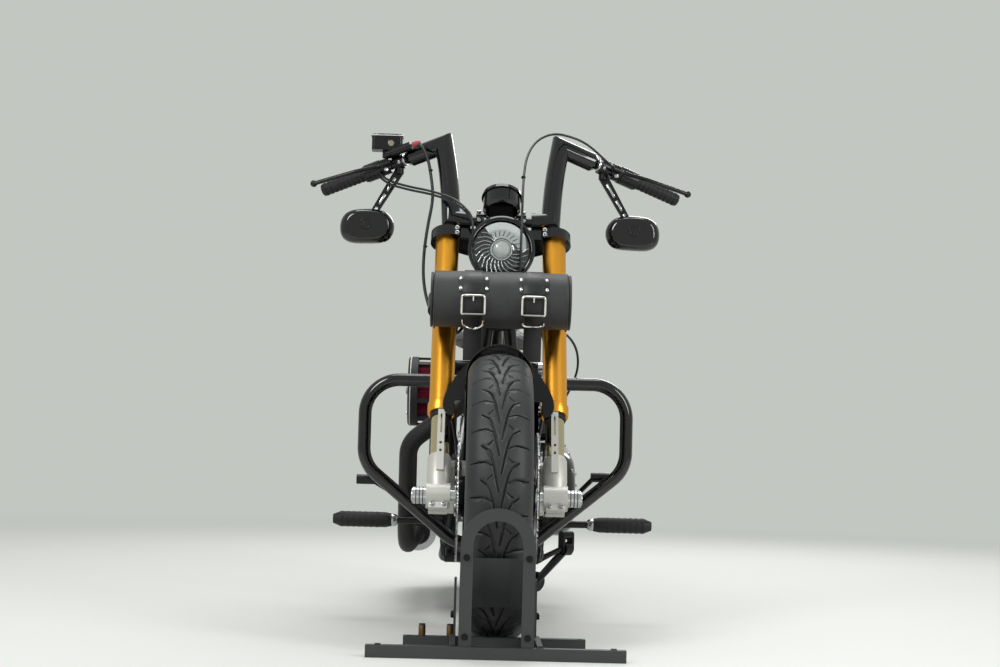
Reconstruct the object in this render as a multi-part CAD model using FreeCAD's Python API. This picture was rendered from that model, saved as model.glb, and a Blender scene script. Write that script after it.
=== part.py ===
import FreeCAD, Part
import math
import os

# A custom cruiser with an upside-down fork and a fat mitred bar, its front wheel held in a floor
# chock. +Z is up, the bike faces -Y and its left side is +X. The origin lies on the floor, below the
# middle of the whole length, from the chock's front to the rear tyre. Sizes called back run rearwards
# from the front axle, ahead runs forwards from an axle, height runs up from the floor, and along and
# behind follow the fork's own slope.

# Stance
wheelbase = 1505.0
trail = 134.0
rake_deg = 30.0
full_turn = 360.0
seat_gap = 0.3
bore_gap = 0.05
overrun = 20.0

# Tyres
front_tyre_radius = 320.0
front_tyre_width = 143.0
rear_tyre_radius = 323.0
rear_tyre_width = 152.0
bead_radius = 203.0
tyre_half_shares = ((0.53, 0.0), (0.55, 0.12), (0.80, 0.28), (0.97, 0.45), (1.0, 0.55),
                    (0.95, 0.72), (0.75, 0.88), (0.40, 0.97), (0.0, 1.0))

# Wheels
flange_lip = 13.0
flange_width = 6.0
well_depth = 17.0
rim_wall = 9.0
spoke_count = 9
spoke_root_width = 15.0
spoke_tip_width = 9.0
spoke_depth = 30.0
spoke_splay_deg = 9.0
hub_radius = 34.0
hub_face_radius = 46.0
hub_face_thickness = 9.0
front_axle_radius = 12.5
rear_axle_radius = 12.5

# Brake discs and calipers
disc_radius = 146.0
disc_thickness = 5.0
disc_track = 34.0
disc_spacing = 88.0
disc_arm_count = 6
disc_arm_width = 16.0
disc_running_gap = 5.5
caliper_depth = 48.0
caliper_length = 118.0
caliper_height = 58.0
caliper_edge = 12.0
caliper_angle_deg = 38.0

# Fork
fork_spacing = 262.0
outer_tube_radius = 28.5
outer_tube_wall = 6.95
outer_tube_low = 211.0
outer_tube_high = 738.0
outer_tube_lip = 3.0
outer_tube_lip_length = 26.0
stanchion_radius = 21.5
stanchion_low = 42.0
stanchion_high = 520.0
casting_radius = 27.0
casting_high = 100.0
casting_low = 30.0
casting_width = 54.0
axle_boss_radius = 29.0
guard_strip_width = 16.0
guard_strip_thickness = 6.0
guard_strip_high = 208.0
guard_slot_low = 146.0
guard_slot_high = 196.0
guard_hole_radius = 3.5
guard_hole_pitch = 20.0
caliper_lug_width = 20.0
caliper_lug_height = 34.0
axle_reach = 189.0
spool_radius = 19.0
spool_groove = 2.0
spacer_radius = 16.0
cap_radius = 24.0
cap_height = 10.0

# Fork clamps
clamp_ring_radius = 41.0
top_clamp_low = 702.0
top_clamp_high = 730.0
bottom_clamp_low = 500.0
bottom_clamp_high = 540.0
clamp_boss_radius = 36.0
clamp_web_share = 0.62
stem_radius = 14.0
stem_nut_radius = 19.0
stem_nut_height = 9.0
neck_radius = 32.0
neck_bore_gap = 0.5
neck_end_gap = 1.0

# Handlebar, risers and hand controls
riser_behind = 46.0
riser_height = 39.8
bar_clamp_radius = 12.7
bar_clamp_reach = 75.0
bar_fat_radius = 24.0
bar_corner_reach = 124.0
bar_bow = 4.0
bar_top_reach = 148.0
bar_sweep = 89.0
bar_rise = 205.0
bar_fat_end_share = 0.27
bar_end_reach = 455.0
bar_pull_back = 112.0
bar_end_drop = 107.0
bar_cone_length = 16.0
bar_bow_steps = 5
riser_offset = 46.0
riser_radius = 17.0
riser_clamp_radius = 25.0
riser_clamp_width = 32.0
grip_radius = 17.0
grip_length = 122.0
grip_flange_radius = 21.0
grip_flange_length = 5.0
grip_rib = 1.2
grip_rib_count = 9
switch_length = 46.0
switch_radius = 23.0
perch_length = 24.0
perch_radius = 21.0
reservoir_length = 78.0
reservoir_depth = 44.0
reservoir_height = 42.0
reservoir_lift = 36.0
reservoir_edge = 8.0
master_ahead = 36.8
master_lift = 24.0
master_length = 70.0
master_radius = 11.0
lever_radius = 5.5
lever_ball_radius = 9.0
lever_ahead = 46.0
lever_reach = 478.0
lever_drop = 8.0
lever_bend = 30.0

# Mirrors
mirror_root_reach = 262.0
mirror_head_reach = 342.0
mirror_drop = 103.0
mirror_ahead = 92.0
mirror_arm_drop = 26.0
mirror_arm_width = 24.0
mirror_arm_thickness = 10.0
mirror_ball_radius = 13.0
mirror_width = 143.0
mirror_height = 89.0
mirror_depth = 26.0
mirror_glass_inset = 7.0
mirror_glass_thickness = 3.0

# Headlight and speedometer
lamp_radius = 80.0
lamp_height = 902.0
lamp_front_back = 215.0
lamp_depth = 108.0
lamp_ring_width = 7.0
lamp_ring_depth = 18.0
lamp_wall = 3.0
lamp_unit_depth = 40.0
lamp_hub_radius = 22.0
lamp_fin_count = 24
lamp_fin_thickness = 2.0
lamp_fin_depth = 16.0
lamp_fin_sweep = 14.0
lens_bulge = 9.0
lens_thickness = 3.0
lamp_post_radius = 13.0
gauge_radius = 50.0
gauge_depth = 50.0
gauge_ahead = 59.0
gauge_lift = 38.0
gauge_ring = 4.0
gauge_ring_depth = 9.0
gauge_glass_drop = 3.0
gauge_stalk_radius = 11.0

# Tool roll on the fork
roll_length = 327.0
roll_radius = 66.0
roll_height = 772.0
roll_end_round = 10.0
roll_stand_off = 4.0
strap_width = 42.0
strap_thickness = 3.0
strap_left_reach = 75.0
strap_right_reach = 64.0
strap_tail_drop = 78.0
strap_tail_width = 36.0
buckle_width = 50.0
buckle_height = 38.0
buckle_wire = 2.5
buckle_turn_deg = 22.0

# Front fender and its side plates
fender_gap = 22.0
fender_half_width = 78.0
fender_skin = 3.0
fender_side_drop = 76.0
fender_front_deg = 4.0
fender_rear_deg = 88.0
plate_thickness = 4.0
plate_reach = 127.0
plate_low = 190.0
plate_leg_inner = 102.0
plate_leg_high = 232.0
plate_tab_high = 246.0
plate_top_width = 12.0

# Front wheel chock
chock_bar = 25.0
chock_front_ahead = 345.0
chock_front_reach = 265.0
chock_rear_ahead = 147.0
chock_rear_reach = 195.0
chock_hoop_height = 306.0
chock_hoop_reach = 77.0
chock_hoop_face = 26.0
chock_hoop_depth = 12.0
chock_trough_low = 97.0
chock_trough_high = 203.0
chock_trough_flat = 55.0
chock_trough_wall = 5.0
chock_trough_wing = 22.0
chock_tyre_gap = 14.0
chock_rail_inset = 12.0
chock_rail_height = 30.0
chock_rail_width = 12.0
chock_cheek_high = 150.0
chock_cheek_length = 70.0
chock_cheek_wall = 5.0
chock_pin_radius = 7.0
chock_pin_height = 26.0
chock_pin_reach = 215.0
chock_pin_pitch = 60.0
chock_bolt_radius = 6.0

# Frame
tube_radius = 16.0
backbone_radius = 22.0
rail_radius = 13.0
tube_bend = 90.0
neck_top_back = 362.0
backbone_front_height = 868.0
backbone_end_back = 862.0
backbone_end_height = 728.0
downtube_spread = 62.0
downtube_top_back = 360.0
downtube_top_height = 815.0
downtube_mid_back = 445.0
downtube_mid_height = 450.0
cradle_front_back = 486.0
cradle_front_height = 158.0
cradle_spread = 118.0
cradle_rear_back = 1090.0
cradle_height = 148.0
post_top_back = 1030.0
post_top_height = 660.0
rail_end_ahead = 112.0
rail_spread = 112.0
pivot_back = 1082.0
pivot_height = 345.0
pivot_radius = 16.0
pivot_half_width = 160.0
pivot_plate_thickness = 12.0

# Engine
crank_back = 757.0
crank_height = 330.0
bank_half_deg = 22.5
case_half_width = 74.0
case_radius = 118.0
gearbox_back = 962.0
gearbox_height = 338.0
gearbox_radius = 80.0
sump_width_share = 0.7
sump_reach_share = 0.8
cam_cover_depth = 34.0
cam_cover_reach = 108.0
barrel_low = 112.0
barrel_high = 236.0
barrel_radius = 54.0
fin_half = 68.0
fin_corner = 26.0
fin_thickness = 3.0
fin_count = 9
head_high = 318.0
head_half = 66.0
head_fin_count = 5
head_fin_lift_share = 0.3
head_core_share = 0.8
rocker_height = 52.0
rocker_half_width = 62.0
rocker_half_length = 58.0
rocker_edge = 14.0
rocker_level_shares = ((0.0, 0.45, 1.0), (0.45, 0.72, 0.93), (0.72, 1.0, 0.80))
pushrod_radius = 8.5
pushrod_low_side = 86.4
pushrod_low_rise = 70.8
pushrod_low_spread = 12.0
pushrod_high_side = 59.6
pushrod_spread = 15.0
mount_bar_radius = 13.0

# Primary drive cover, left side
primary_inner = 74.0
primary_depth = 142.0
primary_front_radius = 112.0
primary_rear_radius = 128.0
primary_round = 40.0
primary_height = 316.0
derby_radius = 62.0
derby_depth = 12.0

# Air cleaner, right side
cleaner_back = 760.0
cleaner_height = 577.0
cleaner_radius = 92.0
cleaner_inner = 150.0
cleaner_depth = 79.0
cleaner_plate = 9.0
cleaner_filter_inset = 13.0
cleaner_slot_count = 10
cleaner_slot_width = 12.0
cleaner_band = 26.0
intake_radius = 26.0

# Exhaust, right side
pipe_radius = 23.0
pipe_reach = 218.0
pipe_low = 176.0
pipe_bend = 62.0
port_bend = 43.4
header_out_share = 0.35
header_bow_ahead = 105.6
rear_pipe_reach = 150.0
rear_pipe_behind = 89.1
rear_pipe_join = 58.0
muffler_radius = 47.0
muffler_outlet_radius = 28.2
muffler_start_back = 905.0
muffler_end_back = 1530.0
muffler_height = 196.0
muffler_reach = 196.0

# Tank, seat and rear fender
tank_front_back = 432.0
tank_rear_back = 905.0
tank_half_width = 108.0
tank_top_height = 884.0
tank_bottom_height = 742.0
tank_tunnel_gap = 6.0
tank_mount_radius = 9.0
tank_cap_radius = 30.0
tank_cap_top_radius = 24.0
tank_cap_height = 9.0
seat_front_back = 930.0
seat_rear_back = 1245.0
seat_half_width = 138.0
seat_thickness = 62.0
seat_height = 714.8
rear_fender_gap = 34.0
rear_fender_half_width = 92.0
rear_fender_side_drop = 92.0
rear_fender_front_deg = -58.0
rear_fender_rear_deg = 62.0

# Swingarm, shocks and final drive
arm_width = 20.0
arm_height = 46.0
arm_pivot_radius = 28.5
arm_axle_radius = 26.7
arm_spread = 147.0
arm_cross_ahead = 352.0
rear_axle_reach = 170.0
shock_spread = 147.0
shock_low_ahead = 96.0
shock_low_height = 378.0
shock_high_ahead = 190.0
shock_lug_radius = 14.0
shock_eye_radius = 17.0
shock_rod_radius = 9.0
shock_eye_half = 10.0
shock_body_radius = 25.0
shock_body_share = 0.62
spring_radius = 31.0
spring_wire = 5.0
spring_turns = 8
belt_reach = 88.0
belt_width = 26.0
belt_thickness = 7.0
front_pulley_radius = 46.0
rear_pulley_radius = 112.0
rear_disc_reach = 84.0
rear_caliper_lean_deg = 18.0
rear_bracket_half = 16.0

# Engine guard, foot controls and side stand
guard_radius = 16.0
guard_back = 396.0
guard_top_height = 592.0
guard_reach = 322.0
guard_corner_height = 385.0
guard_low_reach = 92.0
guard_low_height = 196.0
guard_bend = 84.0
peg_root_reach = 250.0
peg_tip_reach = 400.0
peg_height = 244.0
peg_back = 506.0
peg_radius = 19.0
peg_root_radius = 15.2
peg_tip_radius = 11.4
peg_boss_radius = 9.0
control_plate_thickness = 12.0
control_plate_radius = 26.0
pedal_reach = 340.0
pedal_height = 345.0
shift_reach = 285.0
shift_height = 364.0
pedal_back = 436.0
pedal_arm_width = 18.0
pedal_pad_radius = 12.0
stand_back = 560.0
stand_height = 180.0
stand_reach = 190.0
stand_length = 150.0
stand_radius = 11.0
stand_tip_radius = 9.0
stand_eye_radius = 17.0
stand_pin_radius = 6.5
stand_yoke_gap = 17.0
stand_stay_radius = 6.0
stand_stay_spread = 26.0
stand_foot_radius = 26.0
stand_foot_thickness = 7.0
stand_fold_shares = (-0.467, 0.637, -0.613)
stand_down_shares = (0.42, -0.55, -0.72)

# Side covers and tail lamps
cover_back = 1040.0
cover_height = 530.0
cover_length = 150.0
cover_tall = 150.0
cover_inner = 136.0
cover_depth = 46.0
cover_edge = 24.0
cover_stud_radius = 10.0
lamp_bar_radius = 8.0
signal_radius = 24.0
signal_base_radius = 16.8
signal_length = 42.0
regulator_width = 118.0
regulator_height = 92.0
regulator_depth = 30.0
regulator_fin_count = 9

# Lines
brake_hose_radius = 4.0
cable_radius = 3.0
throttle_cable_pitch = 8.0

V = FreeCAD.Vector
start_point = V(0, 0, 0)
left = V(1, 0, 0)
rearward = V(0, 1, 0)
up = V(0, 0, 1)
middle_back = (wheelbase + rear_tyre_radius - chock_front_ahead - chock_bar / 2) / 2
front_axle = V(0, -middle_back, front_tyre_radius)
rear_axle = V(0, wheelbase - middle_back, rear_tyre_radius)
fork_reach = fork_spacing / 2

# Shares of a piece's length, width or height at which its features lie
line_run_share = 0.45
foot_width_share = 0.55
foot_drop_share = 0.3
lever_elbow_share = 0.35
mirror_slot_shares = ((0.12, 0.36), (0.42, 0.60), (0.66, 0.78))
mirror_outline_shares = ((-0.46, -0.08), (-0.34, 0.38), (0.0, 0.5), (0.36, 0.40),
                         (0.5, 0.05), (0.42, -0.36), (0.05, -0.5), (-0.36, -0.42))
mirror_nose_share = 0.62
mirror_cheek_share = 0.90
lamp_shoulder_share = 0.35
lamp_cheek_share = 0.78
lamp_dome_share = 0.70
bow_shares = (0.0, 0.125, 0.25, 0.375, 0.5, 0.625, 0.75, 0.875, 1.0)
plate_shares = ((0.90, 0.0), (1.0, 0.16), (0.98, 0.30), (0.86, 0.52), (0.68, 0.76),
                (0.46, 0.92), (0.22, 0.99), (0.0, 1.0))
tank_mount_shares = (0.30, 0.80)
section_shares = ((0.0, 0.0), (0.62, 0.03), (0.93, 0.18), (1.0, 0.42), (0.90, 0.70),
                  (0.55, 0.93), (0.0, 1.0))
tank_stations_shares = ((0.0, 0.34, 0.50, 0.84), (0.12, 0.62, 0.30, 0.96),
                        (0.30, 0.86, 0.12, 1.0), (0.50, 0.94, 0.04, 0.96),
                        (0.70, 0.86, 0.02, 0.84), (0.88, 0.62, 0.05, 0.66),
                        (1.0, 0.36, 0.10, 0.46))
tank_cap_share = 0.34
seat_stations_shares = ((0.0, 0.34, 0.16, 0.86), (0.20, 0.56, 0.04, 0.86), (0.42, 0.84, 0.0, 0.84),
                        (0.64, 0.96, 0.0, 0.92), (0.84, 0.86, 0.06, 1.16), (1.0, 0.60, 0.30, 1.40))

# Hoses and cables: reach, back and height of each bend, the starts measured from the perch
master_hose_start = ((73.5, -63.6, 49.5), (94.5, -71.3, 56.8), (116.5, -89.1, 17.5))
master_hose_route = ((-177.0, 452.0, 1105.0), (-170.0, 438.0, 1050.0), (-182.0, 414.0, 978.0),
                     (-189.0, 384.0, 905.0), (-188.0, 352.0, 838.0), (-176.0, 326.0, 780.0),
                     (-150.0, 304.0, 722.0), (-112.0, 277.0, 698.0), (-84.0, 254.0, 712.0),
                     (-80.0, 258.0, 747.0))
caliper_hose_route = ((98.0, 16.0, 499.7), (100.0, 16.0, 470.0), (112.0, 40.0, 430.0),
                      (122.0, 62.0, 380.0), (118.0, 70.0, 310.0), (106.0, 76.0, 250.0),
                      (94.0, 92.0, 190.0), (88.0, 106.0, 146.0))
throttle_start = ((-17.5, -1.1, -12.5), (4.5, -43.1, -44.5), (68.5, -95.1, -68.5))
throttle_route = ((-170.0, 402.0, 1055.0), (-110.0, 362.0, 1030.0), (-70.0, 322.0, 986.0),
                  (-70.0, 314.0, 950.0), (-64.0, 328.0, 918.0), (-50.0, 333.0, 905.0),
                  (-38.1, 313.7, 898.0))
clutch_start = ((-12.5, -45.1, 5.5), (-50.5, -59.1, 35.5), (-88.5, -69.1, 65.5))
clutch_route = ((176.0, 474.0, 1222.0), (128.0, 446.0, 1226.0), (84.0, 404.0, 1200.0),
                (58.0, 350.0, 1150.0), (50.0, 288.0, 1086.0), (47.0, 218.0, 1010.0),
                (46.0, 203.0, 930.0), (45.0, 206.0, 850.0), (44.0, 216.0, 802.0),
                (44.0, 222.0, 752.0))
clutch_lower_route = ((38.0, 391.5, 742.0), (84.0, 398.0, 750.0), (142.0, 414.0, 738.0),
                      (192.0, 430.0, 700.0), (206.0, 450.0, 646.0), (192.0, 480.0, 592.0),
                      (160.0, 520.0, 534.0), (140.0, 560.0, 486.0), (131.0, 590.0, 440.0),
                      (130.0, 622.0, 412.0), (130.0, 650.8, 388.0))

rake = math.radians(rake_deg)
stem_behind = (front_tyre_radius * math.tan(rake) - trail) * math.cos(rake)
bar_back = top_clamp_high * math.sin(rake) + riser_behind
bar_height = front_tyre_radius + top_clamp_high * math.cos(rake) + riser_height
bar_top_back = bar_back + bar_sweep
bar_top_height = bar_height + bar_rise
bar_end_back = bar_top_back + bar_pull_back
bar_end_height = bar_top_height - bar_end_drop
mirror_head_back = bar_end_back - mirror_ahead
mirror_head_height = bar_end_height - mirror_drop
gauge_back = bar_back - gauge_ahead
gauge_height = bar_height + gauge_lift


# Building blocks

def at(x, back, height):
    """Point x to the left of the centre plane, back behind the front axle."""
    return V(x, back - middle_back, height)


def from_rear(x, ahead, height):
    """Point x to the left of the centre plane, ahead of the rear axle."""
    return V(x, wheelbase - middle_back - ahead, height)


def to_fork(shape):
    """Moves a shape from the fork's own axes, z up the legs from the axle, onto the bike."""
    shape.rotate(start_point, left, -rake_deg)
    shape.translate(front_axle)
    return shape


def fork_point(x, behind, along):
    """Point on the bike, given in the fork's own axes."""
    back = along * math.sin(rake) + behind * math.cos(rake)
    height = along * math.cos(rake) - behind * math.sin(rake)
    return front_axle + V(x, back, height)


def save(name, shapes):
    """Writes one node, made of one solid or of several that do not touch."""
    shape = shapes[0] if len(shapes) == 1 else Part.makeCompound(shapes)
    shape.exportStep("parts/" + name + ".step")


def fuse(shapes):
    return shapes[0].multiFuse(shapes[1:]).removeSplitter()


def mirrored(shape):
    return shape.mirror(start_point, left)


def rod(start, end, radius):
    axis = end - start
    return Part.makeCylinder(radius, axis.Length, start, axis)


def taper(start, end, radius, end_radius):
    axis = end - start
    return Part.makeCone(radius, end_radius, axis.Length, start, axis)


def box_around(low, high):
    size = high - low
    return Part.makeBox(size.x, size.y, size.z, low)


def arc_at(corner, before, after, bend):
    """Start, middle and end of the arc that rounds a corner between two runs."""
    into = (corner - before).normalize()
    out = (after - corner).normalize()
    half_turn = into.getAngle(out) / 2
    reach = bend * math.tan(half_turn)
    inward = (out - into).normalize()
    middle = corner + inward * (bend / math.cos(half_turn) - bend)
    return corner - into * reach, middle, corner + out * reach


def rounded_path(points, bends):
    """Straight runs through the points, joined by tangent arcs of the given radii."""
    edges = []
    start = points[0]
    for before, corner, after, bend in zip(points, points[1:], points[2:], bends):
        first, middle, last = arc_at(corner, before, after, bend)
        edges.append(Part.LineSegment(start, first).toShape())
        edges.append(Part.Arc(first, middle, last).toShape())
        start = last
    edges.append(Part.LineSegment(start, points[-1]).toShape())
    return Part.Wire(edges)


def bent_tube(points, radius, bends):
    """Round tube along straight runs and tangent arcs, one bend radius a corner."""
    path = rounded_path(points, bends)
    section = Part.Wire(Part.makeCircle(radius, points[0], points[1] - points[0]))
    return path.makePipeShell([section], True, False)


def even_bends(points, bend):
    return [bend] * (len(points) - 2)


def mitred_tube(points, radius):
    """Round tube along straight runs with sharp mitred corners."""
    path = Part.makePolygon(points)
    section = Part.Wire(Part.makeCircle(radius, points[0], points[1] - points[0]))
    return path.makePipeShell([section], True, False, 1)


def hanging_tube(points, radius):
    """Limp line: each arc is as large as its two runs allow."""
    bends = []
    for before, corner, after in zip(points, points[1:], points[2:]):
        shorter = min((corner - before).Length, (after - corner).Length)
        half_turn = (corner - before).getAngle(after - corner) / 2
        bends.append(line_run_share * shorter / math.tan(half_turn))
    return bent_tube(points, radius, bends)


def rounded_loop(corners, bend):
    """Closed outline through the corners, each rounded by the same bend."""
    count = len(corners)
    arcs = []
    for index, corner in enumerate(corners):
        arcs.append(arc_at(corner, corners[index - 1], corners[(index + 1) % count], bend))
    edges = []
    for index, (first, middle, last) in enumerate(arcs):
        edges.append(Part.Arc(first, middle, last).toShape())
        edges.append(Part.LineSegment(last, arcs[(index + 1) % count][0]).toShape())
    return Part.Wire(edges)


def slab(corners, bend, thickness):
    """Flat plate with rounded corners, pushed out along the thickness vector."""
    return Part.Face(rounded_loop(corners, bend)).extrude(thickness)


def plain_slab(corners, thickness):
    return Part.Face(Part.makePolygon(corners + corners[:1])).extrude(thickness)


def turned(profile, base, axis):
    """Solid turned about an axis from (along, radius) corners."""
    corners = [V(radius, 0, along) for along, radius in profile]
    face = Part.Face(Part.makePolygon(corners + corners[:1]))
    solid = face.revolve(start_point, up, full_turn)
    solid.Placement = FreeCAD.Placement(base, FreeCAD.Rotation(up, axis))
    return solid


def ring(base, axis, outer, inner, length):
    """Plain ring with its first face at the base."""
    return turned([(0, inner), (0, outer), (length, outer), (length, inner)], base, axis)


def spun_copies(shape, centre, axis, count):
    """The shape and its even copies round an axis."""
    copies = []
    for index in range(count):
        copy = shape.copy()
        copy.rotate(centre, axis, index * full_turn / count)
        copies.append(copy)
    return copies


# Wheels

def tyre(axle, radius, width):
    """Full round tyre down to its bead seat."""
    tall = radius - bead_radius
    side = [V(across * width / 2, 0, bead_radius + out * tall) for across, out in tyre_half_shares]
    other = [V(-point.x, 0, point.z) for point in reversed(side[:-1])]
    crown = Part.BSplineCurve()
    crown.interpolate(Points=side[1:] + other[:-1])
    edges = [crown.toShape(),
             Part.LineSegment(other[-2], other[-1]).toShape(),
             Part.LineSegment(other[-1], side[0]).toShape(),
             Part.LineSegment(side[0], side[1]).toShape()]
    solid = Part.Face(Part.Wire(edges)).revolve(start_point, left, full_turn)
    solid.translate(axle)
    return solid


def rim_barrel(axle, tyre_width):
    """Rim with both flanges, bead seats and a dropped well."""
    bead_half = tyre_half_shares[0][0] * tyre_width / 2
    lip_half = tyre_half_shares[1][0] * tyre_width / 2 + seat_gap
    seat_radius = bead_radius - seat_gap
    outer_half = lip_half + flange_width
    well_half = bead_half / 2
    half = [(outer_half, bead_radius + flange_lip), (lip_half, bead_radius + flange_lip),
            (lip_half, seat_radius), (bead_half - rim_wall, seat_radius),
            (well_half, seat_radius - well_depth)]
    inner = [(well_half, seat_radius - well_depth - rim_wall),
             (bead_half - rim_wall, seat_radius - rim_wall), (outer_half, seat_radius - rim_wall)]
    profile = half + [(-along, radius) for along, radius in reversed(half)]
    profile += [(-along, radius) for along, radius in reversed(inner)] + inner
    return turned(profile, axle, left)


def spoke_blade(axle, reach, lean_deg):
    """One flat blade of a split spoke, leaning from the hub out to the rim."""
    root = V(-spoke_depth / 2, -spoke_root_width / 2, hub_radius - flange_width)
    blade = plain_slab([root,
                        root + V(0, spoke_root_width, 0),
                        V(root.x, spoke_tip_width / 2, reach),
                        V(root.x, -spoke_tip_width / 2, reach)], left * spoke_depth)
    blade.rotate(V(0, 0, hub_radius), left, lean_deg)
    blade.translate(axle)
    return blade


def cast_wheel(axle, tyre_width, hub_half_left, hub_half_right, axle_radius):
    """Cast wheel of split spokes between a hub and the rim barrel."""
    tip = bead_radius - seat_gap - well_depth - rim_wall / 2
    parts = [rim_barrel(axle, tyre_width)]
    parts.append(turned([(-hub_half_right, axle_radius), (-hub_half_right, hub_face_radius),
                         (-hub_half_right + hub_face_thickness, hub_face_radius),
                         (-spoke_depth / 2, hub_radius), (spoke_depth / 2, hub_radius),
                         (hub_half_left - hub_face_thickness, hub_face_radius),
                         (hub_half_left, hub_face_radius), (hub_half_left, axle_radius)],
                        axle, left))
    for lean_deg in (-spoke_splay_deg, spoke_splay_deg):
        blade = spoke_blade(axle, tip, lean_deg)
        parts.extend(spun_copies(blade, axle, left, spoke_count))
    return fuse(parts).cut(rod(axle - left * wheelbase, axle + left * wheelbase,
                               axle_radius + bore_gap))


def brake_disc(axle, inner_face, thickness):
    """Disc with a swept ring, open arms and a centre ring that seats on the hub."""
    base = axle + left * inner_face
    swept = ring(base, left, disc_radius, disc_radius - disc_track, thickness)
    centre = ring(base, left, hub_face_radius, front_axle_radius + spacer_radius - rim_wall,
                  thickness)
    arm = box_around(V(0, -disc_arm_width / 2, hub_face_radius - flange_width),
                     V(thickness, disc_arm_width / 2, disc_radius - disc_track + flange_width))
    arm.translate(base)
    return fuse([swept, centre] + spun_copies(arm, axle, left, disc_arm_count))


def make_front_wheel():
    save("front_tyre", [tyre(front_axle, front_tyre_radius, front_tyre_width)])
    hub_half = disc_spacing - disc_thickness / 2
    save("front_rim", [cast_wheel(front_axle, front_tyre_width, hub_half, hub_half,
                                  front_axle_radius)])
    disc = brake_disc(front_axle, hub_half, disc_thickness)
    save("front_discs", [disc, mirrored(disc)])


def make_rear_wheel():
    save("rear_tyre", [tyre(rear_axle, rear_tyre_radius, rear_tyre_width)])
    left_half = rear_disc_reach
    right_half = belt_reach - belt_width / 2
    save("rear_rim", [cast_wheel(rear_axle, rear_tyre_width, left_half, right_half,
                                 rear_axle_radius)])
    save("rear_disc", [brake_disc(rear_axle, left_half, disc_thickness)])
    save("rear_pulley", [rear_pulley()])


def rear_pulley():
    """Belt pulley with a toothless rim, two guide lips and open arms."""
    base = rear_axle - left * (belt_reach - belt_width / 2)
    band = ring(base, -left, rear_pulley_radius, rear_pulley_radius - rim_wall, belt_width)
    lip = ring(base, -left, rear_pulley_radius + belt_thickness, rear_pulley_radius - rim_wall,
               plate_thickness)
    centre = ring(base, -left, hub_face_radius, rear_axle_radius + rim_wall, belt_width)
    arm = box_around(V(-belt_width, -disc_arm_width / 2, hub_face_radius - flange_width),
                     V(0, disc_arm_width / 2, rear_pulley_radius - rim_wall / 2))
    arm.translate(base)
    return fuse([band, lip, centre] + spun_copies(arm, rear_axle, left, disc_arm_count))


# Fork

def make_fork_tubes():
    """Upper tubes with a flared lower lip, bored for the stanchions."""
    bore = outer_tube_radius - outer_tube_wall
    lip_radius = outer_tube_radius + outer_tube_lip
    lip_high = outer_tube_low + outer_tube_lip_length
    profile = [(outer_tube_low, bore), (outer_tube_low, lip_radius - outer_tube_lip / 2),
               (outer_tube_low + outer_tube_lip, lip_radius), (lip_high, lip_radius),
               (lip_high + outer_tube_lip, outer_tube_radius), (outer_tube_high, outer_tube_radius),
               (outer_tube_high, bore)]
    tube = to_fork(turned(profile, left * fork_reach, up))
    save("fork_tubes", [tube, mirrored(tube)])


def make_fork_stanchions():
    base = V(fork_reach, 0, stanchion_low)
    leg = Part.makeCylinder(stanchion_radius, stanchion_high - stanchion_low, base)
    leg = to_fork(leg)
    save("fork_stanchions", [leg, mirrored(leg)])


def axle_clamp_body():
    """Casting round the axle: boss, pinched foot and socket for the stanchion."""
    inner = fork_reach - casting_width / 2
    outer = fork_reach + casting_width / 2
    boss = rod(V(inner, 0, 0), V(outer, 0, 0), axle_boss_radius)
    socket = turned([(0, 0), (0, casting_radius - rim_wall / 2), (stanchion_low, casting_radius),
                     (casting_high - guard_strip_thickness, casting_radius),
                     (casting_high, casting_radius - guard_strip_thickness / 2),
                     (casting_high, 0)], left * fork_reach, up)
    foot = box_around(V(inner + flange_width, -axle_boss_radius * foot_width_share,
                        -axle_boss_radius - casting_low * foot_drop_share),
                      V(outer - flange_width, axle_boss_radius * foot_width_share, 0))
    return fuse([boss, socket, foot])


def strip_face():
    """Front face of the guard strip, just clear of the tube's flared lip."""
    return -(outer_tube_radius + outer_tube_lip + seat_gap)


def guard_strip():
    """Flat strip in front of the leg with two round holes and a long slot."""
    front = strip_face()
    inner = fork_reach - guard_strip_width + guard_strip_thickness
    strip = box_around(V(inner, front, casting_high / 2),
                       V(inner + guard_strip_width, front + guard_strip_thickness,
                         guard_strip_high))
    pad = box_around(V(inner, front, casting_high / 2),
                     V(inner + guard_strip_width, -stanchion_radius / 2,
                       casting_high - guard_strip_thickness))
    strip = fuse([strip, pad])
    middle = inner + guard_strip_width / 2
    holes = []
    for step in range(2):
        hole = V(middle, front - overrun, casting_high + step * guard_hole_pitch)
        holes.append(rod(hole, hole + rearward * overrun * 2, guard_hole_radius))
    slot_low = V(middle - guard_hole_radius / 2, front - overrun, guard_slot_low)
    slot_high = V(middle + guard_hole_radius / 2, front + overrun, guard_slot_high)
    return strip.cut(holes + [box_around(slot_low, slot_high)])


def caliper_centre():
    """Middle of the caliper in the fork's own axes, over the disc behind the leg."""
    reach = disc_radius - disc_track / 2
    angle = math.radians(caliper_angle_deg)
    return V(disc_spacing, reach * math.cos(angle), reach * math.sin(angle))


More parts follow.
